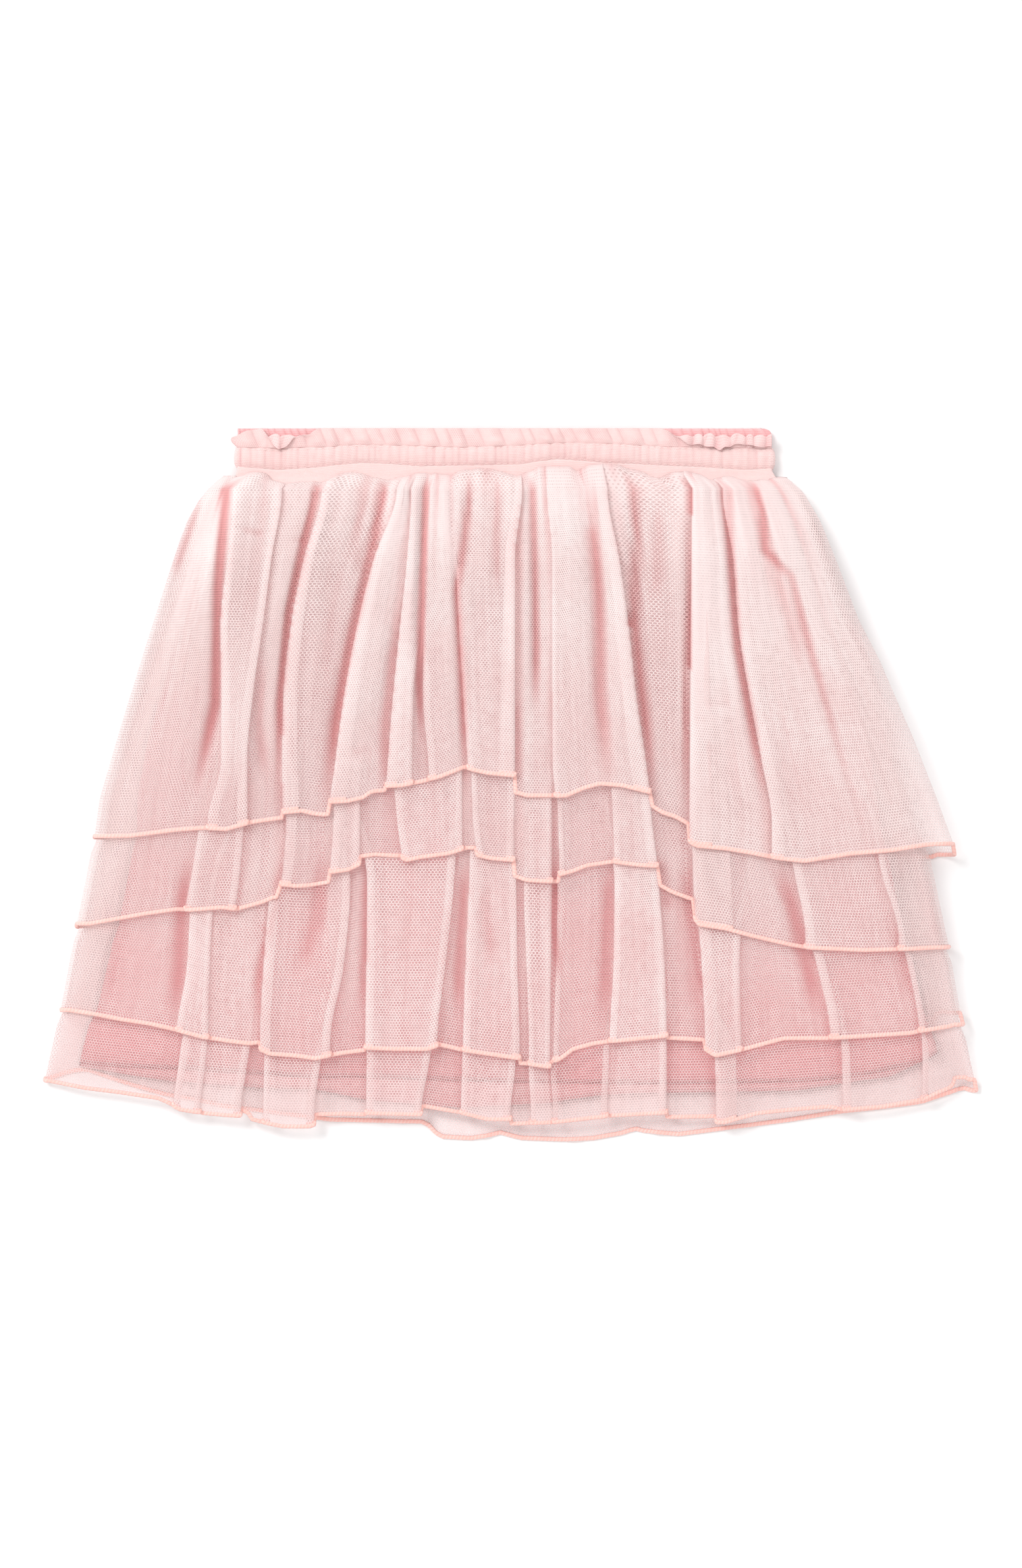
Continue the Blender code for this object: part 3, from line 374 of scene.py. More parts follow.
# Hem of each tier's back: (x, y).
BACK_HEMS = (
    (
        (-196.2, -24.5), (-120.0, -29.0), (0.0, -33.0), (120.0, -31.0), (196.0, -34.5),
        (204.0, -31.5), (208.0, -26.9),
    ),
    ((-204.9, -66.7), (-120.0, -71.0), (0.0, -74.0), (120.0, -77.0), (206.5, -76.3)),
    (
        (-212.3, -105.4), (-120.0, -119.0), (0.0, -127.0), (120.0, -121.0), (197.0, -113.5),
        (201.8, -107.4), (207.0, -106.9), (212.7, -111.6),
    ),
    (
        (-219.5, -139.2), (-209.6, -135.2), (-202.0, -134.2), (-190.0, -137.8),
        (-178.6, -141.5), (-163.0, -146.0), (-147.6, -148.5), (-135.0, -151.6),
        (-116.6, -153.8), (-85.0, -158.0), (-60.0, -158.6), (-40.6, -159.0),
        (-36.5, -162.5), (-34.4, -165.9), (-18.9, -166.8), (-9.6, -165.2), (-5.0, -164.0),
        (4.3, -166.6), (24.5, -167.4), (38.4, -166.8), (53.9, -164.0), (58.0, -162.0),
        (61.7, -163.1), (78.7, -164.9), (100.4, -162.1), (131.4, -158.1),
        (156.2, -154.1), (172.1, -152.5), (193.4, -149.7), (208.9, -144.5),
        (213.6, -142.9), (220.1, -145.1),
    ),
)
# The back comes down a layer over this far past each hem.
HEM_DROP = 12.0

# ---- lining ------------------------------------------------------------------

LINING_FRONT_HEM = (
    (-204.0, -130.5), (-194.1, -132.1), (-178.6, -133.0), (-147.6, -133.9),
    (-116.6, -136.1), (-91.8, -137.9), (-74.7, -137.3), (-39.1, -138.6),
    (-23.6, -139.2), (22.9, -140.1), (69.4, -140.7), (106.6, -140.1),
    (131.4, -139.8), (146.9, -138.6), (162.4, -137.0), (177.9, -133.9),
    (191.9, -131.1), (199.6, -127.4), (204.0, -123.7),
)
LINING_BACK_HEM = (
    (-204.0, -132.4), (-178.6, -136.7), (-156.9, -139.8), (-116.6, -142.9),
    (-91.8, -143.5), (-79.4, -146.0), (-68.5, -148.5), (-39.1, -151.3),
    (-23.6, -152.2), (1.2, -151.0), (16.7, -150.0), (38.4, -146.6), (57.0, -145.4),
    (131.4, -144.2), (177.9, -137.3), (204.0, -125.5),
)

# ---- waist -------------------------------------------------------------------

WAIST_LEFT = -128.7
WAIST_RIGHT = 122.8
CASING_BOTTOM = (
    (-128.7, 148.8), (-109.7, 147.2), (-90.8, 148.5), (-81.8, 149.7), (-70.1, 150.7),
    (-58.0, 150.3), (-42.2, 149.1), (-11.2, 149.7), (4.3, 150.0), (13.6, 151.6),
    (21.4, 152.5), (32.2, 151.9), (44.6, 150.7), (57.0, 150.3), (72.5, 149.4),
    (88.0, 148.8), (100.4, 147.9), (109.7, 147.2), (122.8, 147.9),
)
CASING_TOP = (
    (-128.7, 159.0), (-110.4, 158.4), (-85.6, 159.3), (-73.2, 160.3), (-54.6, 160.0),
    (-23.6, 159.0), (4.3, 160.0), (22.9, 161.2), (44.6, 160.9), (72.5, 159.3),
    (100.4, 158.7), (122.8, 158.4),
)
FRILL_CREST = 167.5


# ---- reading tables and shaping lines ------------------------------------------


def read_table(table, place, column=1):
    """A column of a table at a place in its first column, straight between rows."""
    rows = np.array(sorted(table))
    return np.interp(place, rows[:, 0], rows[:, column])


def stack(column, level):
    """Height or pitch of a layer in the stack at a level."""
    return read_table(STACK, level, STACK_COLUMNS.index(column))


def running(steps):
    """Running sum of steps, from 0."""
    return np.concatenate([[0.0], np.cumsum(steps)])


def path_length(points):
    """Length of a line of points from its start to each of them."""
    return running(np.linalg.norm(np.diff(points, axis=0), axis=1))


def unit(vectors):
    """Vectors of length 1."""
    return vectors / np.maximum(np.linalg.norm(vectors, axis=1, keepdims=True), 1e-9)


def smooth_line(stations, places, y):
    """Value at y of a monotone cubic through (station, place), held past its ends.

    The slope at a station is the harmonic mean of the slopes on both sides.
    """
    order = np.argsort(stations)
    at = np.asarray(stations, float)[order]
    value = np.asarray(places, float)[order]
    width = np.diff(at)
    rise = np.diff(value) / width
    slope = np.zeros_like(value)
    same_way = rise[:-1] * rise[1:] > 0.0
    total = np.where(same_way, rise[:-1] + rise[1:], 1.0)
    slope[1:-1] = np.where(same_way, 2.0 * rise[:-1] * rise[1:] / total, 0.0)
    y = np.clip(y, at[0], at[-1])
    k = np.clip(np.searchsorted(at, y, side="right") - 1, 0, len(width) - 1)
    t = (y - at[k]) / width[k]
    bend = 3.0 * t**2 - 2.0 * t**3
    return (
        value[k] * (1.0 - bend) + value[k + 1] * bend
        + width[k] * (slope[k] * (t**3 - 2.0 * t**2 + t) + slope[k + 1] * (t**3 - t**2))
    )


def ease(low, high, value):
    """0 at low and beyond, 1 at high and beyond, smooth between."""
    t = np.clip((value - low) / (high - low), 0.0, 1.0)
    return t * t * (3.0 - 2.0 * t)


def hem_at(tier, x):
    """y of the hem of a tier's front at x, over all its pieces."""
    return read_table([row for piece in TIER_HEMS[tier - 1] for row in piece], x)


def hem_level(y, hem, bottom):
    """Place in STACK for y: y itself down to LEVEL_BREAK, then on to bottom at
    the hem."""
    depth = np.maximum(LEVEL_BREAK - hem, 1.0)
    below = LEVEL_BREAK + (bottom - LEVEL_BREAK) * (LEVEL_BREAK - y) / depth
    return np.where(y > LEVEL_BREAK, y, np.maximum(below, bottom))


def tier_z(tier, level):
    """Height of a tier's front where it lies flat on what is under it."""
    return stack("tier_4", level) + (TIERS - tier) * stack("pitch", level)


# ---- relief of the front -------------------------------------------------------

MAP_STEP = 0.8
MAP_X = np.arange(-240.0, 240.1, MAP_STEP)
MAP_Y = np.arange(-180.0, 160.1, MAP_STEP)
FAN_Y = 43.1
GATHER_SEED = 5
# Gathers and soft folds across the front: (how many, height, reach down from the
# seam).
GATHERS = (
    (17, 1.9, 26.0), (38, 0.8, 32.0), (118, 0.2, 24.0), (52, 0.3, 260.0), (140, 0.12, 320.0),
)
GROUND = 1.4
RELIEF_TOP = 8.0
# Depths and height that count as a full valley, slit and ridge.
VALLEY_DEPTH = 1.7
SLIT_DEPTH = 2.6
RIDGE_HEIGHT = 1.2
FOLD_SLOPE = 24.0
FOLD_GROWTH = 30.0
# This fold of tier 1 starts low and close to its neighbour, so fan leaves it out.
FAN_SKIPS = 7


def fold_growth(start, y):
    """0 above the place where a fold begins, 1 from FOLD_GROWTH below it."""
    return ease(start + 2.0, start - FOLD_GROWTH, y) if start < SEAM_Y else np.ones_like(y)


def fold_relief(tier, x, y):
    """Highest of the folds' panels: each stands up at its fold's edge and slopes
    away from it as exp(-distance / FOLD_SLOPE)."""
    height = np.zeros(np.broadcast(x, y).shape)
    for top_panel, lap, start, _, places in TIER_FOLDS[tier - 1]:
        away = x - smooth_line(TIER_STATIONS[tier - 1], places, y)
        if top_panel == "over_right":
            away = -away
        lift = (0.9 + 0.14 * min(lap, 8.0)) * fold_growth(start, y)
        height = np.maximum(height, np.where(away >= 0.0, lift * np.exp(-away / FOLD_SLOPE), 0.0))
    return height


def fan(x, y):
    """How far across the skirt a point lies, in mm at FAN_Y: the lines of equal
    fan run with the folds of the outermost tier."""
    knots_here = [read_table(LEFT_SIDE, y)]
    knots = [float(read_table(LEFT_SIDE, FAN_Y))]
    for _, _, _, _, places in TIER_FOLDS[0]:
        knots_here.append(smooth_line(TIER_STATIONS[0], places, y))
        knots.append(float(smooth_line(TIER_STATIONS[0], places, np.array([FAN_Y]))[0]))
    knots_here.append(read_table(RIGHT_SIDE_TIER_1, y))
    knots.append(float(read_table(RIGHT_SIDE_TIER_1, FAN_Y)))
    knots_here = np.stack([np.ravel(k) for k in knots_here], axis=1)
    keep = [k for k in range(len(knots)) if k != FAN_SKIPS]
    knots_here = knots_here[:, keep]
    knots = np.array(knots)[keep]
    return np.stack([np.interp(x, row, knots) for row in knots_here])


def gather_relief(across, y, count, seed, height, reach):
    """Round gathers with sharp valleys between them, uneven in width, height and
    length: height * |sin|^0.6 over each, fading down the skirt as exp(-drop / reach)."""
    draw = np.random.default_rng(seed)
    edges = running(draw.uniform(0.6, 1.5, count))
    edges = FAN_LEFT + (FAN_RIGHT - FAN_LEFT) * edges / edges[-1]
    heights = height * draw.uniform(0.55, 1.25, count)
    reaches = reach * draw.uniform(0.35, 1.7, count)
    place = np.interp(across, edges, np.arange(count + 1.0))
    k = np.clip(place.astype(int), 0, count - 1)
    round_top = np.abs(np.sin(np.pi * (place - k))) ** 0.6
    drop = np.maximum(SEAM_Y - y, 0.0)
    return heights[k] * round_top * np.exp(-drop / reaches[k])


def crease_relief(x, y):
    """Sum of the creases: height * fade * exp(-(distance to its line / half width)^2).

    A crease fades out to its last point, and to its first as well unless that is
    in the seam.
    """
    height = np.zeros(np.broadcast(x, y).shape)
    for rise, half_width, line in CREASES:
        points = np.array(line)
        nearest = np.full(height.shape, np.inf)
        share = np.zeros(height.shape)
        parts = len(points) - 1
        for k, ((ax, ay), (bx, by)) in enumerate(zip(points[:-1], points[1:])):
            length = (bx - ax) ** 2 + (by - ay) ** 2
            t = np.clip(((x - ax) * (bx - ax) + (y - ay) * (by - ay)) / length, 0.0, 1.0)
            off = (x - ax - t * (bx - ax)) ** 2 + (y - ay - t * (by - ay)) ** 2
            share = np.where(off < nearest, (k + t) / parts, share)
            nearest = np.minimum(nearest, off)
        fade = ease(1.0, 0.7, share)
        if line[0][1] < SEAM_Y - 1.0:
            fade = fade * ease(0.0, 0.3, share)
        height += rise * fade * np.exp(-nearest / half_width**2)
    return height


FAN_LEFT = float(read_table(LEFT_SIDE, FAN_Y))
FAN_RIGHT = float(read_table(RIGHT_SIDE_TIER_1, FAN_Y))


def front_relief():
    """Map of the height of the folds, gathers and creases over the flat stack.

    All tiers share it, so that they nest: between two hems it has the folds of
    the tier that shows there.
    """
    x, y = MAP_X[None, :], MAP_Y[:, None]
    folds = fold_relief(TIERS, x, y)
    for tier in range(TIERS - 1, 0, -1):
        above = ease(-3.0, 3.0, y - hem_at(tier, x))
        folds = folds * (1.0 - above) + fold_relief(tier, x, y) * above
    across = fan(MAP_X, MAP_Y)
    total = GROUND + folds + crease_relief(x, y)
    for k, (count, height, reach) in enumerate(GATHERS):
        total += gather_relief(across, y, count, GATHER_SEED + k, height, reach)
    return np.clip(total, 0.0, RELIEF_TOP)


def blurred(values, half):
    """Map smoothed by two passes of a square 2 * half + 1 points wide."""
    size = 2 * half + 1
    for _ in range(2):
        for axis in (0, 1):
            edges = [(half + 1, half) if k == axis else (0, 0) for k in (0, 1)]
            sums = np.cumsum(np.pad(values, edges, mode="edge"), axis=axis)
            low = np.take(sums, np.arange(values.shape[axis]), axis=axis)
            high = np.take(sums, np.arange(values.shape[axis]) + size, axis=axis)
            values = (high - low) / size
    return values


def front_shade(relief):
    """Maps from the relief: 0 to 1 in the valleys, which also set the painted shade there, and 0 to
    1 on the ridges.
    """
    above = relief - blurred(relief, 5)
    slits = np.clip(-crease_relief(MAP_X[None, :], MAP_Y[:, None]) / SLIT_DEPTH, 0.0, 1.0)
    valleys = np.clip(-above / VALLEY_DEPTH + 0.5 * slits, 0.0, 1.0)
    return valleys, np.clip(above / RIDGE_HEIGHT, 0.0, 1.0)


def sample_map(values, x, y):
    """Value of a map at points, straight between its grid points."""
    column = np.clip((x - MAP_X[0]) / MAP_STEP, 0.0, len(MAP_X) - 1.001)
    row = np.clip((y - MAP_Y[0]) / MAP_STEP, 0.0, len(MAP_Y) - 1.001)
    c, r = column.astype(int), row.astype(int)
    fc, fr = column - c, row - r
    upper = values[r, c] * (1.0 - fc) + values[r, c + 1] * fc
    lower = values[r + 1, c] * (1.0 - fc) + values[r + 1, c + 1] * fc
    return upper * (1.0 - fr) + lower * fr


# ---- tulle tiers ---------------------------------------------------------------

# Height of a fold's top panel, and how far its lines keep from its edge at a turn.
LAP_HEIGHT = 1.15
TURN = 0.35
# Grid of a tier: mm between columns at the hem, rows of each, columns of a back.
COLUMN_STEP = 1.7
TIER_ROWS = (92, 112, 128, 140)
BACK_COLUMNS = 130
SIDE_TURN = np.radians(np.linspace(0.0, 90.0, 8)[:-1])
# Alpha of the net in its holes, where loose fibres cross them, and on its threads.
HAZE = 0.12
THREAD_ALPHA = 0.9
# How the net crowds: more on ridges, less in valleys, and fuller towards the seam.
RIDGE_CROWDING = 0.4
VALLEY_THINNING = 0.35
SEAM_FULLNESS = 3.0
SEAM_REACH = 26.0
# Share of the layers behind that veils the holes, and strength of a whole second net.
VEIL_SHARE = 0.45
SECOND_NET = 0.4
# Front and back of tier 4 lie on each other past the lining.
PAST_LINING_LAYERS = 0.7
# Painted shade on the net past the lining, where it lies over the pale floor.
PAST_LINING_SHADE = 0.18
# y at which the lines of each tier's folds are worked out.
LINE_Y = np.arange(-176.0, 160.1, 0.5)
# How far a hem inside a fold stays above the hem that shows.
TUCK = 1.2
# Layers of net under the tier above, where they don't show.
HIDDEN_LAYERS = 0.6
# The eight lines of a knife fold over the left in the order of the cloth: height
# as a share of the fold's; share of the lap, turn, place when the fold is still
# open, how far the relief is read from the line, as a share of the lap and in
# millimetres; and whether the hem is the under panel's, is tucked in, or is the top
# panel's.  A fold over the right is its mirror image.
OVER_LEFT = (
    (0.0, (0, -1, -1.0, 0.0, -0.4), "under"), (0.0, (0, 1, -0.85, 0.0, -0.9), "tucked"),
    (0.0, (1, -1, -0.7, -0.8, 0.0), "tucked"), (0.25, (1, 0, -0.4, -0.6, 0.0), "tucked"),
    (0.5, (1, -1, -0.05, -0.3, 0.0), "tucked"), (0.5, (0, 1, 0.3, 0.0, 0.4), "tucked"),
    (0.75, (0, 0, 0.65, 0.0, 0.6), "tucked"), (1.0, (0, 1, 1.0, 0.0, 0.9), "top"),
)
FOLD_LINES = {
    "over_left": OVER_LEFT,
    "over_right": [(level, [-v for v in line], kind) for level, line, kind in OVER_LEFT[::-1]],
}


def lap_share(y):
    """Laps narrow towards the waist."""
    return np.interp(y, (-20.0, 60.0, SEAM_Y), (1.0, 0.8, 0.45))


def side_edge(side, tier, y):
    """Centre, radius and seam height of the bend at a side of a tier.

    The bend is a quarter circle round a centre that all tiers share, and the
    outermost tier there reaches the outline.
    """
    end = 0 if side < 0 else -1
    hems = [table[end][1] for table in BACK_HEMS]
    stations = [hem - drop for hem in hems[:-1] for drop in (0.0, 8.0)]
    outer = np.interp(y, stations[::-1], (4.0, 3.0, 3.0, 2.0, 2.0, 1.0))
    outline = LEFT_SIDE if side < 0 else RIGHT_SIDE_TIER_1 if tier == 1 else RIGHT_SIDE
    level = hem_level(y, hems[-1], SKIRT_HEM_LEVEL)
    seam_z = stack("side_seam", level)
    reach = stack("tier_4", level) + (TIERS - outer) * stack("pitch", level) - seam_z + 0.5
    return read_table(outline, y) - side * reach, tier_z(tier, level) - seam_z, seam_z


def open_spread(tier):
    """Half the width over which each fold's cloth spreads where it isn't folded."""
    places = np.array([fold[4] for fold in TIER_FOLDS[tier - 1]])
    gaps = np.full((len(places) + 1, places.shape[1]), 30.0)
    gaps[1:-1] = np.diff(places, axis=0)
    nearest = np.minimum(gaps[:-1], gaps[1:]).min(axis=1)
    return np.minimum([fold[1] for fold in TIER_FOLDS[tier - 1]], 0.42 * nearest)


def fold_lines(tier):
    """The lines of a tier's folds, with its two side lines: x, height and relief
    shift at every LINE_Y, and the piece of hem that each belongs to, counted from
    1 and with a minus sign where the hem is tucked in."""
    spread = open_spread(tier)
    flat = np.zeros_like(LINE_Y)
    x, height, shift, pieces = [side_edge(-1, tier, LINE_Y)[0]], [flat], [flat], [1]
    piece = 1
    for k, (top_panel, lap, start, step, places) in enumerate(TIER_FOLDS[tier - 1]):
        middle = smooth_line(TIER_STATIONS[tier - 1], places, LINE_Y)
        grown = fold_growth(start, LINE_Y)
        narrow = lap_share(LINE_Y)
        left, right = piece, piece + step
        top, under = (right, left) if top_panel == "over_left" else (left, right)
        for level, (share, turn, open_place, dip, dip_mm), kind in FOLD_LINES[top_panel]:
            folded = (share * lap + turn * TURN) * narrow
            x.append(middle + folded * grown + open_place * spread[k] * (1.0 - grown))
            height.append(level * LAP_HEIGHT * grown)
            shift.append((dip * lap * narrow + dip_mm) * grown)
            pieces.append({"top": top, "under": under, "tucked": -top}[kind])
        piece = right
    x.append(side_edge(1, tier, LINE_Y)[0])
    height.append(flat)
    shift.append(flat)
    pieces.append(piece)
    return np.array(x), np.array(height), np.array(shift), np.array(pieces)


def read_lines(values, left, share, y):
    """Value between line left and the next one, at y."""
    place = np.clip((y - LINE_Y[0]) / (LINE_Y[1] - LINE_Y[0]), 0.0, len(LINE_Y) - 1.001)
    k = place.astype(int)
    f = place - k
    right = np.minimum(left + 1, len(values) - 1)
    near = values[left, k] * (1.0 - f) + values[left, k + 1] * f
    far = values[right, k] * (1.0 - f) + values[right, k + 1] * f
    return near * (1.0 - share) + far * share


def piece_hem(tier, piece, x):
    """y at x of numbered pieces of a tier's hem, tucked in a little where the
    number is negative."""
    y = np.zeros_like(x)
    for k, rows in enumerate(TIER_HEMS[tier - 1]):
        mine = np.abs(piece) == k + 1
        y[mine] = read_table(rows, x[mine])
    return np.where(piece < 0, y + TUCK, y)


def spread_columns(tier, lines):
    """Columns of a tier's front: the line on the left, the share of the way to the
    next line, and the y of the hem."""
    x, _, _, pieces = lines
    guess = np.full(len(x), TIER_STATIONS[tier - 1][-1])
    index = np.arange(len(x))
    for _ in range(4):
        guess = piece_hem(tier, pieces, read_lines(x, index, 0.0, guess))
    at_hem = read_lines(x, index, 0.0, guess)
    counts = np.maximum(1, np.round(np.abs(np.diff(at_hem)) / COLUMN_STEP).astype(int))
    left = np.repeat(index[:-1], counts)
    share = np.concatenate([np.arange(n) / n for n in counts])
    left = np.append(left, len(x) - 2)
    share = np.append(share, 1.0)
    straight = guess[left] * (1.0 - share) + guess[left + 1] * share
    one_piece = pieces[left] == pieces[left + 1]
    hem = straight
    for _ in range(4):
        along = piece_hem(tier, pieces[left], read_lines(x, left, share, hem))
        hem = np.where(one_piece, along, straight)
    return left, share, hem


def side_bend(side, tier, edge):
    """Columns of a side's quarter circle, from the seam towards the edge's height."""
    y, top_z = edge[:, 1:2], edge[:, 2:]
    centre, radius, seam_z = side_edge(side, tier, y)
    x = centre + side * radius * np.cos(SIDE_TURN)
    z = seam_z + (top_z - seam_z) * np.sin(SIDE_TURN)
    return np.stack([x, y + 0.0 * x, z], axis=2)


def with_bends(first_side, tier, points, start):
    """A tier's face between the quarter circles of its sides, each from column
    start on."""
    near = side_bend(first_side, tier, points[:, 0])[:, start:]
    far = side_bend(-first_side, tier, points[:, -1])[:, start:]
    return np.concatenate([near, points, far[:, ::-1]], axis=1)


def shown_layers(tier, left, x, y):
    """How many layers of net lie at each point of a tier's front: TIER_LAYERS where
    the tier shows, one in the folds, and HIDDEN_LAYERS under the tier above it."""
    own = np.array(TIER_LAYERS[tier - 1])[left // len(OVER_LEFT)]
    own = np.where(left % len(OVER_LEFT) == 0, own, 1.0)
    if tier == 1:
        return 1.0 + (own - 1.0) * ease(CHEST_Y + 20.0, HIP_Y, y)
    return HIDDEN_LAYERS + (own - HIDDEN_LAYERS) * ease(5.0, -5.0, y - hem_at(tier - 1, x))


def front_surface(tier, relief, down):
    """Points of a tier's front, a row for each share of the way down, and how many
    layers lie there."""
    lines = fold_lines(tier)
    left, share, hem = spread_columns(tier, lines)
    top = SEAM_Y if tier == 1 else INNER_SEAM_Y
    y = top + (hem - top)[None, :] * down[:, None]
    left = np.broadcast_to(left, y.shape)
    share = np.broadcast_to(share, y.shape)
    x, height, shift = (read_lines(values, left, share, y) for values in lines[:3])
    level = hem_level(y, hem_at(TIERS, x), SKIRT_HEM_LEVEL)
    near_side = np.minimum(x - x[:, :1], x[:, -1:] - x)
    lift = sample_map(relief, x + shift, y) * ease(0.0, 14.0, near_side)
    points = np.stack([x, y, tier_z(tier, level) + lift + height], axis=2)
    layers = shown_layers(tier, left, x, y)
    layers = np.pad(layers, ((0, 0), (len(SIDE_TURN), len(SIDE_TURN))), mode="edge")
    return with_bends(-1, tier, points, 0), layers


def back_surface(tier, down):
    """Points of a tier's back, from the right side to the left.

    It lies on the floor and on the tiers outside it, and comes down a layer past
    each hem.  Folds are tents of half a cosine.
    """
    across = np.linspace(0.0, 1.0, BACK_COLUMNS)
    top = SEAM_Y if tier == 1 else INNER_SEAM_Y
    hem_rows = BACK_HEMS[tier - 1]
    right, left = side_edge(1, tier, hem_rows[-1][1])[0], side_edge(-1, tier, hem_rows[0][1])[0]
    hem = read_table(hem_rows, (1.0 - across) * right + across * left)
    y = top + (hem - top)[None, :] * down[:, None]
    x = side_edge(1, tier, y)[0] * (1.0 - across) + side_edge(-1, tier, y)[0] * across
    level = hem_level(y, read_table(BACK_HEMS[-1], x), SKIRT_HEM_LEVEL)
    layers = np.full_like(y, tier - 1.0)
    for outer in range(tier - 1):
        past = read_table(BACK_HEMS[outer], x) - y
        layers -= ease(0.0, HEM_DROP, past)
    tents = np.zeros_like(y)
    for places in BACK_FOLDS:
        away = np.abs(x - smooth_line(BACK_FOLD_Y, places, y))
        narrow = np.interp(y, (CHEST_Y, SEAM_Y), (5.5, 3.2))
        tents += np.where(away < narrow, 0.5 + 0.5 * np.cos(np.pi * away / narrow), 0.0)
    ripple = gather_relief(fan_back(x, y), y, 70, GATHER_SEED + 9, height=0.9, reach=34.0)
    inside = np.minimum(x[:, :1] - x, x - x[:, -1:])
    lift = (tents * stack("back_fold", level) + ripple) * ease(0.0, 10.0, inside)
    z = FLOOR_CLOTH_Z + layers * stack("pitch", level) + lift
    return with_bends(1, tier, np.stack([x, y, z], axis=2), 1)


def fan_back(x, y):
    """Place across the back in mm at FAN_Y, straight between its sides."""
    left, right = read_table(LEFT_SIDE, y), read_table(RIGHT_SIDE, y)
    return FAN_LEFT + (FAN_RIGHT - FAN_LEFT) * (x - left) / (right - left)


def along_outline(x, y):
    """x of points in the seam, carried along the outline of their side to y."""
    outline, at_seam = (
        np.where(x < 0.0, read_table(LEFT_SIDE, level), read_table(RIGHT_SIDE, level))
        for level in (y, SEAM_Y)
    )
    return x * outline / at_seam


def puff_rows(front, back, relief):
    """Rows that roll the outermost tier over the edge of the yoke."""
    rows = []
    seam = front[0]
    valley = sample_map(relief, seam[:, 0], np.full(len(seam), SEAM_Y))
    scallop = 0.5 * np.clip(valley - GROUND - 2.0, -1.5, 1.2)
    crest = read_table(PUFF_TOP, seam[:, 0]) + scallop
    edge = len(SIDE_TURN)
    crest[:edge] = crest[edge]
    crest[-edge:] = crest[-edge - 1]
    low = np.clip((seam[:, 2] - seam[0, 2]) / (tier_z(1, SEAM_Y) - seam[0, 2]), 0.0, 1.0)
    for drop, over, share in PUFF_ROLL:
        y = crest + drop
        x = along_outline(seam[:, 0], y)
        roll_z = seam[0, 2] + (read_table(YOKE_RISE, y) + over - seam[0, 2]) * low
        z = roll_z * (1.0 - share) + seam[:, 2] * share
        rows.append(np.stack([x, y, z], axis=1))
    back_rows = []
    low = np.clip((back[0, :, 2] - FLOOR_CLOTH_Z) / (seam[0, 2] - FLOOR_CLOTH_Z), 0.0, 1.0)
    for k, (y, z) in enumerate(BACK_ROLL):
        side_y = np.where(back[0, :, 0] < 0.0, rows[k][0, 1], rows[k][-1, 1])
        y = y * (1.0 - low) + side_y * low
        x = along_outline(back[0, :, 0], y)
        back_rows.append(np.stack([x, y, z + (seam[0, 2] - z) * low], axis=1))
    return np.array(rows), np.array(back_rows)


def tier_tube(tier, relief):
    """Rows of points all round a tier, from its top to its hem, and how many layers
    of its net lie there."""
    down = np.linspace(0.0, 1.0, TIER_ROWS[tier - 1])
    down = 0.75 * down + 0.25 * down**1.6
    front, layers = front_surface(tier, relief, down)
    back = back_surface(tier, down)
    if tier == 1:
        front_roll, back_roll = puff_rows(front, back, relief)
        front = np.concatenate([front_roll, front])
        back = np.concatenate([back_roll, back])
        layers = np.pad(layers, ((len(PUFF_ROLL), 0), (0, 0)), mode="edge")
    layers = np.pad(layers, ((0, 0), (0, back.shape[1])), constant_values=1.0)
    return np.concatenate([front, back], axis=1), layers


def cloth_places(points):
    """Place of each point in the flat cloth, in mm: across along the hem, and down
    in even rows.  Returns the closing column's place as well."""
    hem = points[-1]
    rows = np.linalg.norm(np.diff(points, axis=0), axis=2).mean(axis=1)
    return path_length(np.concatenate([hem, hem[:1]])), running(rows)


def crowding(points, across):
    """Flat cloth over finished surface at every point: more than 1 where the cloth
    is gathered."""
    wide = np.linalg.norm(np.roll(points, -1, axis=1) - points, axis=2)
    wide = wide + np.roll(wide, 1, axis=1)
    flat = np.diff(across)
    flat = flat + np.roll(flat, 1)
    ratio = flat[None, :] / np.maximum(wide, 1e-6)
    for _ in range(3):
        ratio = (np.roll(ratio, 1, axis=1) + 2.0 * ratio + np.roll(ratio, -1, axis=1)) / 4.0
    return np.clip(ratio, 0.85, 3.5)


def past_lining(points):
    """1 where a point of the innermost tier lies beyond the lining's hem and sides."""
    x, y = points[:, :, 0], points[:, :, 1]
    side = np.maximum(lining_edge(-1, y) - x, x - lining_edge(1, y))
    below = read_table(LINING_FRONT_HEM, x) - y
    return ease(-1.0, 3.0, np.maximum(side, below))


def thread_widths(points, layers, coverage, ridges, valleys):
    """Half width of the net's threads at every point, as a share of a hole, how far
    its holes are veiled, and how strong a second net lies across it, for the
    coverage of so many crowded layers: more towards the seam and on ridges."""
    below = np.maximum(SEAM_Y - points[:, :, 1], 0.0)
    layers = layers * (1.0 + RIDGE_CROWDING * ridges - VALLEY_THINNING * valleys)
    layers = layers * (1.0 + SEAM_FULLNESS * np.exp(-below / SEAM_REACH))
    covered = 1.0 - (1.0 - coverage) ** layers
    behind = 1.0 - (1.0 - coverage) ** np.maximum(layers - 1.0, 0.0)
    haze = HAZE + (THREAD_ALPHA - HAZE) * VEIL_SHARE * behind
    second = SECOND_NET * np.clip(layers - 1.0, 0.0, 1.0)
    covered = np.clip((covered - haze) / (THREAD_ALPHA - haze), 0.02, 0.97)
    covered = 1.0 - (1.0 - covered) ** (1.0 / (1.0 + second))
    return 0.5 * (1.0 - np.sqrt(1.0 - covered)), haze, second


# ---- meshes --------------------------------------------------------------------


def link_object(name, data):
    """Object of a mesh, a lamp or a camera, in the scene."""
    made = bpy.data.objects.new(name, data)
    bpy.context.scene.collection.objects.link(made)
    return made


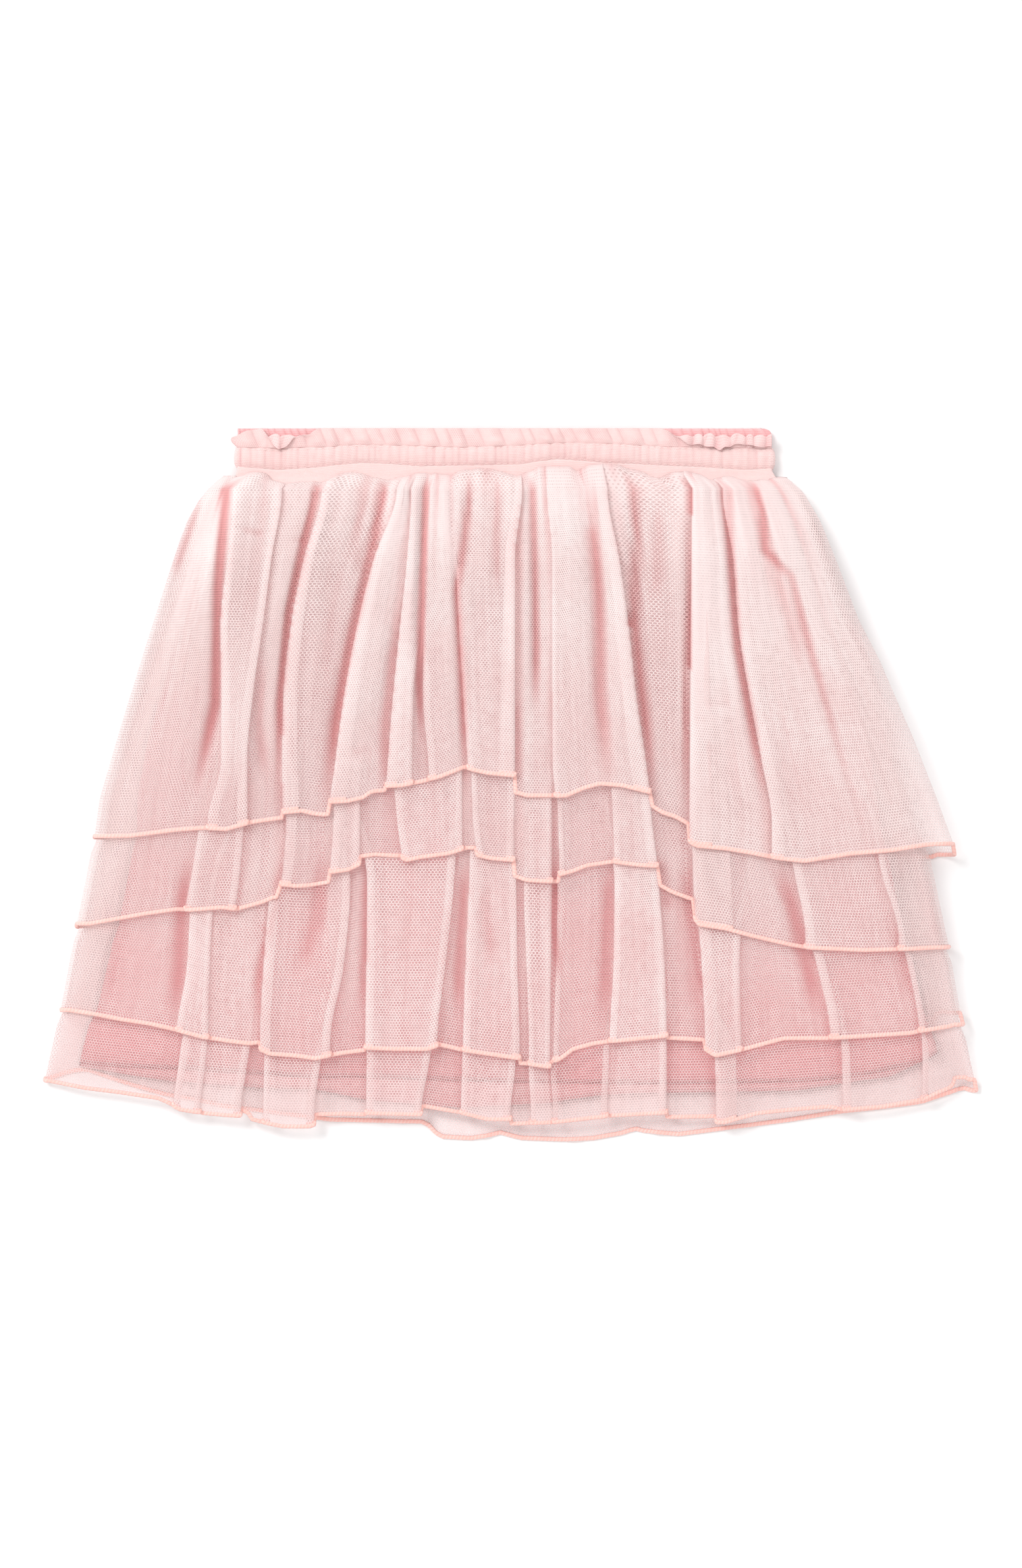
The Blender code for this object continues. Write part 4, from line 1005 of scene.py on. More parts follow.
def make_piece(name, points, closed, across, down, values=None):
    """Mesh of one grid of points in mm, with its cloth places as UV in mm and
    named values on its points.  closed joins the last column to the first."""
    rows, columns = points.shape[:2]
    index = np.arange(rows * columns).reshape(rows, columns)
    right = np.roll(index, -1, axis=1) if closed else index[:, 1:]
    left = index if closed else index[:, :-1]
    faces = np.stack([left[:-1], left[1:], right[1:], right[:-1]], axis=-1).reshape(-1, 4)
    mesh = bpy.data.meshes.new(name)
    mesh.vertices.add(rows * columns)
    mesh.vertices.foreach_set("co", ((points + CENTRE) * MM).astype(np.float32).ravel())
    mesh.loops.add(faces.size)
    mesh.loops.foreach_set("vertex_index", faces.astype(np.int32).ravel())
    mesh.polygons.add(len(faces))
    mesh.polygons.foreach_set("loop_start", np.arange(0, faces.size, 4, dtype=np.int32))
    mesh.polygons.foreach_set("use_smooth", np.ones(len(faces), dtype=bool))
    width = left.shape[1]
    near, far = across[:width], across[1 : width + 1]
    u = np.broadcast_to(np.stack([near, near, far, far], axis=-1), (rows - 1, width, 4))
    v = np.stack([down[:-1], down[1:], down[1:], down[:-1]], axis=-1)
    v = np.broadcast_to(v[:, None, :], (rows - 1, width, 4))
    layer = mesh.uv_layers.new(name="cloth")
    layer.data.foreach_set("uv", np.stack([u, v], axis=-1).astype(np.float32).ravel())
    for key, value in (values or {}).items():
        attribute = mesh.attributes.new(key, "FLOAT", "POINT")
        attribute.data.foreach_set("value", np.asarray(value, np.float32).ravel())
    mesh.update()
    mesh.validate()
    return link_object(name, mesh)


def even_path(points, step):
    """A closed line of points again, with points an even step apart."""
    ring = np.concatenate([points, points[:1]])
    along = path_length(ring)
    at = np.linspace(0.0, along[-1], int(along[-1] / step), endpoint=False)
    return np.stack([np.interp(at, along, ring[:, k]) for k in range(3)], axis=1)


def side_and_up(ahead):
    """Unit vectors to the left of a path, level with the floor, and up from it."""
    side = unit(np.stack([-ahead[:, 1], ahead[:, 0], np.zeros(len(ahead))], axis=1))
    return side, np.cross(ahead, side)


def thread_tube(path, half_width, half_height, stitch, swell, sides=6):
    """Points of a closed tube along a closed path: an oval whose size swells and
    shrinks once a stitch, as 1 + swell * |sin|."""
    side, up = side_and_up(unit(np.roll(path, -2, axis=0) - np.roll(path, 2, axis=0)))
    along = path_length(path)
    size = 1.0 + swell * (np.abs(np.sin(np.pi * along / stitch)) - 0.5)
    turn = np.arange(sides) * 2.0 * np.pi / sides
    oval = (
        side[None] * (half_width * np.cos(turn))[:, None, None]
        + up[None] * (half_height * np.sin(turn))[:, None, None]
    )
    points = path[None] + oval * size[None, :, None]
    return np.concatenate([points, points[:1]]), along


# ---- hem threads and stitches --------------------------------------------------

THREAD_STEP = 0.6
THREAD_WIDTH = 0.98
THREAD_HEIGHT = 0.46
THREAD_TURN = 3.1
THREAD_SWELL = 0.1
# A stitch's rings: (share of its length, size).
STITCH_RINGS = ((0.0, 0.35), (0.2, 0.9), (0.5, 1.0), (0.8, 0.9), (1.0, 0.35))


def hem_thread(tier, tube):
    """Overlocked edge of a tier: a swelling tube along its last row."""
    path = even_path(tube[-1], THREAD_STEP)
    path[:, 2] = np.maximum(path[:, 2], THREAD_HEIGHT * 1.3)
    points, along = thread_tube(path, THREAD_WIDTH, THREAD_HEIGHT, THREAD_TURN, THREAD_SWELL)
    around = np.linspace(0.0, 2.0 * np.pi * THREAD_WIDTH, points.shape[0])
    across = np.append(along, along[-1] + THREAD_STEP)
    return make_piece(f"hem_thread_{tier}", points, True, across, around)


def stitch_rows(name, starts, ends, half_width, raised):
    """One mesh of straight stitches: a closed bar of six sides, thickest in its
    middle, from each start to its end, raised off the cloth."""
    ahead = ends - starts
    length = np.linalg.norm(ahead, axis=1, keepdims=True)
    ahead = ahead / length
    side, up = side_and_up(ahead)
    turn = np.arange(6) * np.pi / 3.0
    rings = []
    for share, size in STITCH_RINGS:
        middle = starts + ahead * length * share + up * raised * (0.4 + 0.6 * size)
        oval = (
            side[:, None] * (half_width * size * np.cos(turn))[None, :, None]
            + up[:, None] * (half_width * 0.7 * size * np.sin(turn))[None, :, None]
        )
        rings.append(middle[:, None] + oval)
    points = np.stack(rings, axis=1)
    whole = 6 * len(STITCH_RINGS)
    base = np.arange(len(points))[:, None, None, None] * whole
    ring = base + np.arange(len(STITCH_RINGS) - 1)[None, :, None, None] * 6
    spot = np.arange(6)[None, None, :, None]
    after = (spot + 1) % 6
    quads = np.concatenate([ring + spot, ring + after, ring + 6 + after, ring + 6 + spot], axis=3)
    ends = np.arange(6)[::-1], np.arange(whole - 6, whole)
    caps = np.concatenate([base[:, 0, 0] + end for end in ends])
    mesh = bpy.data.meshes.new(name)
    places = (points.reshape(-1, 3) + CENTRE) * MM
    mesh.from_pydata(places.tolist(), [], quads.reshape(-1, 4).tolist() + caps.tolist())
    mesh.polygons.foreach_set("use_smooth", np.ones(len(mesh.polygons), dtype=bool))
    mesh.update()
    return link_object(name, mesh)


def stitches_along(x, stitch, rows, place):
    """Starts and ends of rows of stitches that begin at x: place(x, row) is where a
    row's thread lies."""
    return [
        np.concatenate([place(x + shift, row) for row in rows]) for shift in (0.0, stitch)
    ]


# ---- lining --------------------------------------------------------------------

LINING_COLUMNS = 180
LINING_ROWS = 100
HEM_BAND = 20.5
# y at which the sides give the hem's ends.
HEM_END_Y = -130.0
LINING_STITCH = 2.4


def lining_edge(side, y):
    """x of the lining's left (-1) or right (1) side."""
    return side_edge(side, TIERS, y)[0] - side * read_table(LINING_INSET, y)


def lining_z(face, x, y):
    """Height of a lining panel: the front follows its own hem down, and the back
    comes down again past the front's hem.  A doubled band stands up at the hem."""
    front_hem = read_table(LINING_FRONT_HEM, x)
    level = hem_level(y, front_hem, LINING_HEM_LEVEL)
    across = fan_back(x, y)
    wave = gather_relief(across, y, 34, GATHER_SEED + 20, height=0.35, reach=220.0)
    if face == "front":
        band = 0.3 * ease(0.6, -0.6, y - front_hem - HEM_BAND)
        return stack("lining_front", level) + band + wave
    start = front_hem - 1.0
    past = (start - y) / np.maximum(start - read_table(LINING_BACK_HEM, x), 0.5)
    beyond = LINING_HEM_LEVEL + (SKIRT_HEM_LEVEL - LINING_HEM_LEVEL) * np.clip(past, 0.0, 1.0)
    return stack("lining_back", np.where(y > start, level, beyond)) - 0.2


def lining_tube():
    """Rows of points all round the lining, from the gathers to its hem."""
    down = np.linspace(0.0, 1.0, LINING_ROWS)[:, None]
    across = np.linspace(0.0, 1.0, LINING_COLUMNS)[None, :]
    faces = []
    for face, hem_table in (("front", LINING_FRONT_HEM), ("back", LINING_BACK_HEM)):
        share = across if face == "front" else 1.0 - across
        left, right = (lining_edge(side, np.full((1, 1), HEM_END_Y)) for side in (-1, 1))
        hem = read_table(hem_table, left * (1.0 - share) + right * share)
        y = INNER_SEAM_Y + (hem - INNER_SEAM_Y) * down
        x = lining_edge(-1, y) * (1.0 - share) + lining_edge(1, y) * share
        faces.append(np.stack([x, y, lining_z(face, x, y)], axis=2))
    return np.concatenate(faces, axis=1)


def lining_stitches(face):
    """Two rows of stitches along the top of the hem band."""
    table, sunk = (LINING_FRONT_HEM, 0.0) if face == "front" else (LINING_BACK_HEM, 0.9)

    def place(x, rise):
        y = read_table(table, x) + rise
        return np.stack([x, y, lining_z(face, x, y) - sunk], axis=1)

    x = np.arange(-196.0, 196.0, 3.1)
    return stitches_along(x, LINING_STITCH, (HEM_BAND - 1.2, HEM_BAND - 3.8), place)


# ---- waist ---------------------------------------------------------------------

WAIST_COLUMNS = 520
CASING_THICK = 1.9
CASING_MID_Z = 2.35
CASING_HALF = 1.35
CASING_STITCH = 2.2
# Ruches of the casing: how far apart its wide, slanting and fine ones are.
RUCHES_WIDE, RUCHES_SLANT, RUCHES_FINE = 3.6, 14.0, 1.5
# Yoke: (y, x of its left end, x of its right end), and (y, z) of its two faces.
YOKE_TOP, YOKE_BOTTOM = 149.5, 134.5
YOKE_ENDS = ((148.2, -128.7, 122.8), (138.9, -131.0, 127.5), (134.5, -132.0, 129.0))
YOKE_FRONT = ((149.5, 4.3), (145.0, 4.9), (141.0, 7.2), (138.9, 7.7), (134.5, 8.7))
YOKE_BACK = ((148.2, 0.9), (145.0, 1.95), (141.0, 5.2), (138.9, 5.5), (134.5, 5.7))


def waist_loop(count, left, right, half):
    """Flattened loop round the waist: x and z from its middle, and the outward
    normal, front from left to right and then back."""
    turn = np.radians(np.linspace(90.0, -90.0, 13)[1:-1])
    flat = np.linspace(left + half, right - half, count // 2)
    bend, level = half * np.cos(turn), np.ones_like(flat)
    x = np.concatenate([flat, right - half + bend, flat[::-1], left + half - bend])
    nx = np.concatenate([0.0 * level, np.cos(turn), 0.0 * level, -np.cos(turn)])
    nz = np.concatenate([level, np.sin(turn), -level, -np.sin(turn)])
    return x, half * nz, nx, nz


def ruches(along, pitch, seed):
    """Uneven upright creases of elastic: |sin|^0.7 over cells of about one pitch."""
    draw = np.random.default_rng(seed)
    count = int(along[-1] / pitch) + 2
    edges = running(draw.uniform(0.65, 1.4, count)) * pitch
    heights = draw.uniform(0.5, 1.2, count)
    place = np.interp(along, edges, np.arange(count + 1.0))
    k = np.clip(place.astype(int), 0, count - 1)
    return heights[k] * np.abs(np.sin(np.pi * (place - k))) ** 0.7


def casing_ring():
    """Closed ring of the elastic casing: a rounded band with upright ruches that
    die out at its two lines of stitching.  Returns its points, its places in the
    cloth, and how strong the shade painted into its ruches and grooves is, 0 to 1."""
    x, z, nx, nz = waist_loop(WAIST_COLUMNS, WAIST_LEFT, WAIST_RIGHT, CASING_HALF)
    bottom, top = read_table(CASING_BOTTOM, x), read_table(CASING_TOP, x)
    along = running(np.hypot(np.diff(x), np.diff(z)))
    coarse = np.arange(0.0, 600.0, 9.0)
    wide = ruches(along, RUCHES_WIDE, 31)
    slant = np.interp(along, coarse, ruches(coarse, RUCHES_SLANT, 33))
    points, shade_mask = [], []
    for angle in np.linspace(0.0, 2.0 * np.pi, 25):
        c, s = np.cos(angle), np.sin(angle)
        up = np.sign(c) * abs(c) ** 0.75
        out = np.sign(s) * abs(s) ** 0.55
        fine = ruches(along + 0.8 * up * slant, RUCHES_FINE, 32)
        dies = 1.0 - 0.75 * abs(up) ** 4
        groove = 0.22 * np.exp(-(((abs(up) - 0.8) / 0.09) ** 2))
        swell = max(out, 0.0) * ((0.7 * wide + 0.22 * fine) * dies + 0.35 * (1 - up**2) - groove)
        reach = CASING_THICK / 2 * out + swell
        y = (top + bottom) / 2 + (top - bottom) / 2 * up * (1.0 + 0.02 * (wide - 0.5))
        points.append(np.stack([x + nx * reach, y, CASING_MID_Z + z + nz * reach], axis=1))
        # Painted shade: darker in the valleys of the ruches and in the stitch grooves.
        low = np.clip(1.0 - wide, 0.0, 1.0)
        shade_mask.append(dies * (0.45 * low**2 + 0.25 * np.exp(-fine / 0.15)) + 0.5 * groove)
    points = np.array(points)
    points[:, :, 2] = np.maximum(points[:, :, 2], 0.05)
    around = running(np.linalg.norm(np.diff(points, axis=0), axis=2).mean(axis=1))
    shade_mask = np.clip(np.array(shade_mask)[::-1], 0.0, 1.0)
    return points[::-1], np.append(along, along[-1] + 0.5), around, shade_mask


def casing_stitches():
    """Rows of stitches in the grooves of the casing's front."""

    def place(x, share):
        low, high = read_table(CASING_BOTTOM, x), read_table(CASING_TOP, x)
        z = np.full_like(x, CASING_MID_Z + CASING_HALF + CASING_THICK / 2 + 0.05)
        return np.stack([x, low + (high - low) * share, z], axis=1)

    x = np.arange(WAIST_LEFT + 3.0, WAIST_RIGHT - 3.0, 2.9)
    return stitches_along(x, CASING_STITCH, (0.11, 0.89), place)


def yoke_ring():
    """Plain strip from under the casing down into the gathers, all round."""
    half = 0.006
    x, z, _, _ = waist_loop(360, -1.0, 1.0, half)
    front = 0.5 + 0.5 * z / half
    rows = []
    for share in np.linspace(0.0, 1.0, 14):
        y = YOKE_TOP + (YOKE_BOTTOM - YOKE_TOP) * share
        left, right = (read_table(YOKE_ENDS, y, k) for k in (1, 2))
        across = left + (right - left) * (0.5 + 0.5 * x)
        y = y + (read_table(CASING_BOTTOM, across) + 0.8 - YOKE_TOP) * (1.0 - share)
        z = read_table(YOKE_BACK, y) * (1.0 - front) + read_table(YOKE_FRONT, y) * front
        rows.append(np.stack([across, y, z], axis=1))
    return np.array(rows)


def frill_sheet(grid, pitch, seed, plain, flipped=None, flips=None):
    """Heading frill: rows of cloth that stand up from the casing in slanting knife
    pleats, and turn over forwards where flips says so.

    The pleats are a slow rise and a quick fall across the frill, leaning one way;
    the part that turns over is ruffled as the casing is.  plain and flipped are
    (share of the way up the cloth, share of the way to FRILL_CREST, z).
    Returns the points, and how strong the shade painted along the edge of each
    pleat and over the part that turns over is, 0 to 1.
    """
    rows, columns = grid
    x = np.linspace(WAIST_LEFT, WAIST_RIGHT, columns)
    draw = np.random.default_rng(seed)
    count = int((WAIST_RIGHT - WAIST_LEFT) / pitch)
    edges = running(draw.uniform(0.6, 1.5, count))
    edges = WAIST_LEFT + (WAIST_RIGHT - WAIST_LEFT) * edges / edges[-1]
    tall = draw.uniform(0.55, 1.2, count + 1)
    flip = read_table(flips, x) if flips else 0.0 * x
    base = read_table(CASING_TOP, x) - 0.4
    wave = np.sin(x / 1.05 + 1.6 * np.sin(x / 5.3))
    ruffle = ruches(x - WAIST_LEFT, RUFFLE_PITCH, seed + 9)
    lines, shade_mask = [], []
    for along in np.linspace(0.0, 1.0, rows):
        place = np.interp(x + PLEAT_LEAN * along, edges, np.arange(count + 1.0))
        k = np.clip(place.astype(int), 0, count)
        saw = place - k
        risen, fallen = (saw / PLEAT_PEAK) ** 1.3, ((1.0 - saw) / PLEAT_FALL) ** 0.8
        pleat = tall[k] * np.where(saw < PLEAT_PEAK, risen, fallen)
        strong = (0.35 + 0.65 * ease(0.0, 0.3, along)) * (1.0 - 0.55 * flip)
        rise, z = (
            read_table(plain, along, column) * (1.0 - flip)
            + read_table(flipped or plain, along, column) * flip
            for column in (1, 2)
        )
        roll = np.exp(-(((along - 0.45) / 0.28) ** 2))
        y = base + rise * (FRILL_CREST - base) + flip * (2.4 * ruffle * roll + 0.4 * wave * along)
        spread = 3.2 * np.sin(np.pi * min(along, 0.8) / 0.8) * np.exp(-(x - WAIST_LEFT) / 3.0)
        above = np.clip(y - FRILL_CREST + FRILL_CORNER, 0.0, FRILL_CORNER)
        inset = FRILL_CORNER - np.sqrt(FRILL_CORNER**2 - above**2)
        inset = inset * np.exp(-(WAIST_RIGHT - x) / 6.0)
        z = z + 1.5 * pleat * strong + flip * (0.9 * (ruffle - 0.6) + 0.3 * wave * along)
        lines.append(np.stack([x - (spread if flips else 0.0) - inset, y, z], axis=1))
        # Painted shade: darker along the edge of each pleat, and over the part that turns over, most
        # in the dips of its ruffle and towards its edge.
        near = np.minimum(saw, 1.0 - saw)
        dip = 0.3 + np.clip(1.0 - ruffle, 0.0, 1.0) ** 2 + 0.3 * ease(0.8, 1.0, along)
        dark = 0.45 * tall[k] * np.exp(-near / 0.09) * strong + 0.5 * flip * dip
        shade_mask.append(np.clip(dark, 0.0, 1.0))
    return np.array(lines[::-1]), np.array(shade_mask[::-1])


FRILL_CORNER = 3.4
BACK_PLEAT = 1.0
PLEAT_LEAN = 3.6
PLEAT_PEAK, PLEAT_FALL = 0.66, 0.34
RUFFLE_PITCH = 5.6
FRILL_PLAIN = ((0.0, 0.0, 4.0), (0.1, 0.1, 4.4), (1.0, 1.0, 4.9))
FRILL_FLIPPED = (
    (0.0, 0.0, 4.0), (0.25, 0.34, 4.7), (0.4, 0.5, 5.4), (0.52, 0.5, 6.2), (0.7, 0.26, 6.5),
    (1.0, -0.12, 6.1),
)
# How far the frill turns over: (x, 0 to 1).
FRILL_FLIP = (
    (-128.7, 0.3), (-124.0, 0.1), (-117.2, 0.0), (-115.3, 0.25), (-113.2, 0.55), (-111.3, 0.8),
    (-109.4, 1.0), (-107.3, 0.9), (-104.2, 0.7), (-102.0, 0.42), (-100.4, 0.38), (-94.9, 0.27),
    (-91.0, 0.0), (70.4, 0.0), (73.5, 0.1), (77.2, 0.35), (80.6, 0.6), (83.1, 0.75), (88.0, 0.78),
    (93.0, 0.85), (98.6, 1.0), (102.0, 0.85), (108.2, 0.7), (112.8, 0.8), (122.8, 0.85),
)
FRILL_BACK = ((0.0, 0.0, 0.5), (1.0, 1.0, 0.5))
FACING_BACK = ((0.0, 0.0, 2.3), (1.0, 1.0, 2.3))


# ---- materials -----------------------------------------------------------------

ROOT_3 = 1.7320508
SECOND_NET_TURN = 0.16
SECOND_NET_DRIFT = 16.0
VEIL_PITCH = 0.9
VEIL_THREAD = 0.2
WHITE = (1.0, 1.0, 1.0, 1.0)


def linear(red, green, blue):
    """Linear colour of 8-bit screen values."""
    c = np.array((red, green, blue)) / 255.0
    return (*np.where(c < 0.04045, c / 12.92, ((c + 0.055) / 1.055) ** 2.4).tolist(), 1.0)


class Nodes:
    """Adds and links nodes in one tree, from their sockets' values."""

    def __init__(self, tree):
        self.tree = tree

    def feed(self, node, values):
        """Links a node's inputs to sockets, or sets them to constants."""
        for key, value in values.items():
            if isinstance(value, bpy.types.NodeSocket):
                self.tree.links.new(value, node.inputs[key])
            else:
                node.inputs[key].default_value = value

    def add(self, kind, values=(), **settings):
        node = self.tree.nodes.new(kind)
        for key, value in settings.items():
            setattr(node, key, value)
        self.feed(node, dict(values))
        return node

    def group(self, name, build, values):
        """A node group that materials share, built when it is first used."""
        tree = bpy.data.node_groups.get(name) or build()
        return self.add("ShaderNodeGroup", values, node_tree=tree)

    def cloth(self):
        return self.add("ShaderNodeUVMap", uv_map="cloth").outputs[0]

    def attribute(self, name):
        return self.add("ShaderNodeAttribute", attribute_name=name).outputs[2]

    def math(self, operation, a, b=0.0, c=0.0):
        values = {0: a, 1: b, 2: c}
        return self.add("ShaderNodeMath", values, operation=operation).outputs[0]

    def vector(self, operation, a, b=(0.0, 0.0, 0.0)):
        return self.add("ShaderNodeVectorMath", {0: a, 1: b}, operation=operation).outputs[0]

    def dot(self, a, b):
        values = {0: a, 1: b}
        return self.add("ShaderNodeVectorMath", values, operation="DOT_PRODUCT").outputs[1]

    def mapped(self, place, key, value):
        return self.add("ShaderNodeMapping", {0: place, key: value}).outputs[0]

    def blend(self, share, a, b):
        values = {0: share, 6: a, 7: b}
        return self.add("ShaderNodeMix", values, data_type="RGBA").outputs[2]

    def spread(self, value, low, high, to_low, to_high, kind="LINEAR"):
        values = {0: value, 1: low, 2: high, 3: to_low, 4: to_high}
        return self.add("ShaderNodeMapRange", values, interpolation_type=kind).outputs[0]

    def noise(self, place, scale, detail, out=0):
        values = {"Vector": place, "Scale": scale, "Detail": detail}
        return self.add("ShaderNodeTexNoise", values).outputs[out]

    def patches(self, place, scale, detail, low, high):
        """Noise between low and high, with its rare ends cut off."""
        return self.spread(self.noise(place, scale, detail), 0.3, 0.7, low, high)

    def bump(self, height, distance, strength):
        values = {"Height": height, "Distance": distance, "Strength": strength}
        return self.add("ShaderNodeBump", values).outputs[0]


def new_group(name, inputs, outputs):
    """Empty node group: its Place, then number inputs with their values, and its
    number outputs."""
    group = bpy.data.node_groups.new(name, "ShaderNodeTree")
    group.interface.new_socket("Place", in_out="INPUT", socket_type="NodeSocketVector")
    for label, value in inputs.items():
        socket = group.interface.new_socket(label, in_out="INPUT", socket_type="NodeSocketFloat")
        socket.default_value = value
    for label in outputs:
        group.interface.new_socket(label, in_out="OUTPUT", socket_type="NodeSocketFloat")
    nodes = group.nodes
    return group, Nodes(group), nodes.new("NodeGroupInput").outputs, nodes.new("NodeGroupOutput")


def hex_net_group():
    """Hexagonal net: 1 on its threads and 0 in its holes.

    Two interleaved grids of cells give the nearest cell centre, and the distance
    to the cell's edge is one half less the hexagonal distance from that centre.
    """
    inputs = {"Pitch": 1.36, "Thread": 0.13}
    group, n, given, made = new_group("hex_net", inputs, ("Net", "Ridge"))
    cell, half = (1.0, ROOT_3, 1.0), (0.5, ROOT_3 / 2.0, 0.0)
    size = n.math("DIVIDE", 1.0, given["Pitch"])
    place = n.add("ShaderNodeVectorMath", {0: given["Place"], 3: size}, operation="SCALE").outputs[0]
    first, second = (
        n.vector("SUBTRACT", n.vector("MODULO", start, cell), half)
        for start in (place, n.vector("ADD", place, half))
    )
    nearer = n.math("GREATER_THAN", n.dot(first, first), n.dot(second, second))
    mix = n.add("ShaderNodeMix", {0: nearer, 4: first, 5: second}, data_type="VECTOR").outputs[1]
    folded = n.vector("ABSOLUTE", mix)
    apart = n.add("ShaderNodeSeparateXYZ", {0: folded}).outputs[0]
    slant = n.dot(folded, (0.5, ROOT_3 / 2.0, 0.0))
    edge = n.math("SUBTRACT", 0.5, n.math("MAXIMUM", apart, slant))
    inner, outer = (n.math("MULTIPLY", given["Thread"], share) for share in (0.5, 1.5))
    n.feed(made, {
        "Net": n.spread(edge, inner, outer, 1.0, 0.0, "SMOOTHSTEP"),
        "Ridge": n.spread(edge, 0.0, outer, 1.0, 0.0, "SMOOTHSTEP"),
    })
    return group


def knit_group():
    """Fine jersey: courses across the cloth, broken up stitch by stitch."""
    inputs = {"Course": 0.95, "Wale": 0.8}
    group, n, given, made = new_group("fine_knit", inputs, ("Course Shade", "Height", "Mottle"))
    parts = n.add("ShaderNodeSeparateXYZ", {0: given["Place"]}).outputs
    wale = n.math("DIVIDE", parts[0], given["Wale"])
    course = n.math("DIVIDE", parts[1], given["Course"])
    loops = n.math("SINE", n.math("MULTIPLY", wale, 2.0 * np.pi))
    bent = n.math("ADD", course, n.math("MULTIPLY", loops, 0.16))
    lines = n.math("SINE", n.math("MULTIPLY", bent, 2.0 * np.pi))
    streaks = n.patches(n.mapped(given["Place"], "Scale", (0.05, 1.4, 1.0)), 1.0, 2.0, 0.5, 1.0)
    n.feed(made, {
        "Course Shade": n.math("MULTIPLY", n.math("MULTIPLY_ADD", lines, 0.5, 0.5), streaks),
        "Height": n.math("MULTIPLY_ADD", loops, 0.25, lines),
        "Mottle": n.noise(given["Place"], 0.35, 4.0),
    })
    return group


def new_material(name, roughness, sheen):
    material = bpy.data.materials.new(name)
    material.use_nodes = True
    shader = material.node_tree.nodes["Principled BSDF"]
    n = Nodes(material.node_tree)
    n.feed(shader, {
        "Roughness": roughness, "Sheen Weight": sheen, "Sheen Roughness": 0.6,
        "Specular IOR Level": 0.25,
    })
    return material, n, shader


def net_material(settings):
    """Soft nylon tulle: threads of the net, with its holes veiled a little, and a
    second net, turned and drifting, across it where layers lie on each other."""
    material, n, shader = new_material("tulle_net", 0.62, 0.25)
    cloth, pitch = n.cloth(), settings.mesh_pitch / MM
    lengthwise = n.mapped(cloth, "Scale", (0.55, 0.022, 1.0))
    thread = n.math("MULTIPLY", n.attribute("thread"), n.patches(cloth, 0.24, 1.0, 0.84, 1.16))
    thread = n.math("MULTIPLY", thread, n.patches(lengthwise, 1.0, 1.0, 0.8, 1.22))
    net = n.group("hex_net", hex_net_group, {"Place": cloth, "Thread": thread, "Pitch": pitch})
    drift = (SECOND_NET_DRIFT, SECOND_NET_DRIFT, 0.0)
    turned = n.vector(
        "ADD", n.mapped(cloth, "Rotation", (0.0, 0.0, SECOND_NET_TURN)),
        n.vector("MULTIPLY", n.noise(cloth, 0.02, 0.0, 1), drift),
    )
    under = n.group("hex_net", hex_net_group, {"Place": turned, "Thread": thread, "Pitch": pitch})
    second = n.math("MULTIPLY", under.outputs["Net"], n.attribute("second"))
    crossed = n.math("MAXIMUM", net.outputs["Net"], second)
    patch = n.patches(cloth, 0.03, 1.0, 0.0, 1.0)
    colour = n.blend(patch, tuple(settings.net_colour), tuple(settings.net_shade))
    shadow = n.add("ShaderNodeLightPath").outputs["Is Shadow Ray"]
    through = n.math("MULTIPLY_ADD", shadow, -0.5, 1.0)
    solid = n.spread(crossed, 0.0, 1.0, n.attribute("haze"), THREAD_ALPHA)
    # Painted shade: the base colour goes towards the fold shade colour in valleys, creases and
    # slits.
    n.feed(shader, {
        "Base Color": n.blend(n.attribute("painted_shade"), colour, tuple(settings.fold_shade_colour)),
        "Alpha": n.math("MULTIPLY", solid, through),
        "Normal": n.bump(net.outputs["Ridge"], 0.0001, 0.15),
    })
    return material


def jersey_material(name, colour, shade, course, wale, depth, contrast, veil=0.0):
    """Fine cotton jersey with its courses across the cloth, with shade painted into
    its valleys and creases, and the holes of a net over it where veil is above 0."""
    material, n, shader = new_material(name, 0.85, 0.3)
    cloth = n.cloth()
    knit = n.group("fine_knit", knit_group, {"Place": cloth, "Course": course, "Wale": wale}).outputs
    mottled = n.blend(n.spread(knit["Mottle"], 0.3, 0.7, 0.0, 1.0), colour, shade)
    darker = tuple(c * (1.0 - contrast) for c in shade[:3]) + (1.0,)
    lines = n.blend(n.math("MULTIPLY", knit["Course Shade"], 0.8), mottled, darker)
    # deep is the colour of the shade painted into valleys and creases; the holes of the veil's net
    # show it as well.
    deep = (shade[0] * 0.8, shade[1] * 0.6, shade[2] * 0.62, 1.0)
    if veil > 0.0:
        values = {"Place": cloth, "Pitch": VEIL_PITCH, "Thread": VEIL_THREAD}
        net = n.group("hex_net", hex_net_group, values).outputs["Net"]
        patchy = n.spread(n.noise(cloth, 0.11, 2.0), 0.42, 0.62, 0.1, veil)
        lines = n.blend(n.math("MULTIPLY", patchy, n.math("SUBTRACT", 1.0, net)), lines, deep)
    # Painted shade: the colour goes towards deep in the cloth's valleys and creases.
    n.feed(shader, {
        "Base Color": n.blend(n.attribute("painted_shade"), lines, deep),
        "Normal": n.bump(knit["Height"], depth, 0.6),
    })
    return material


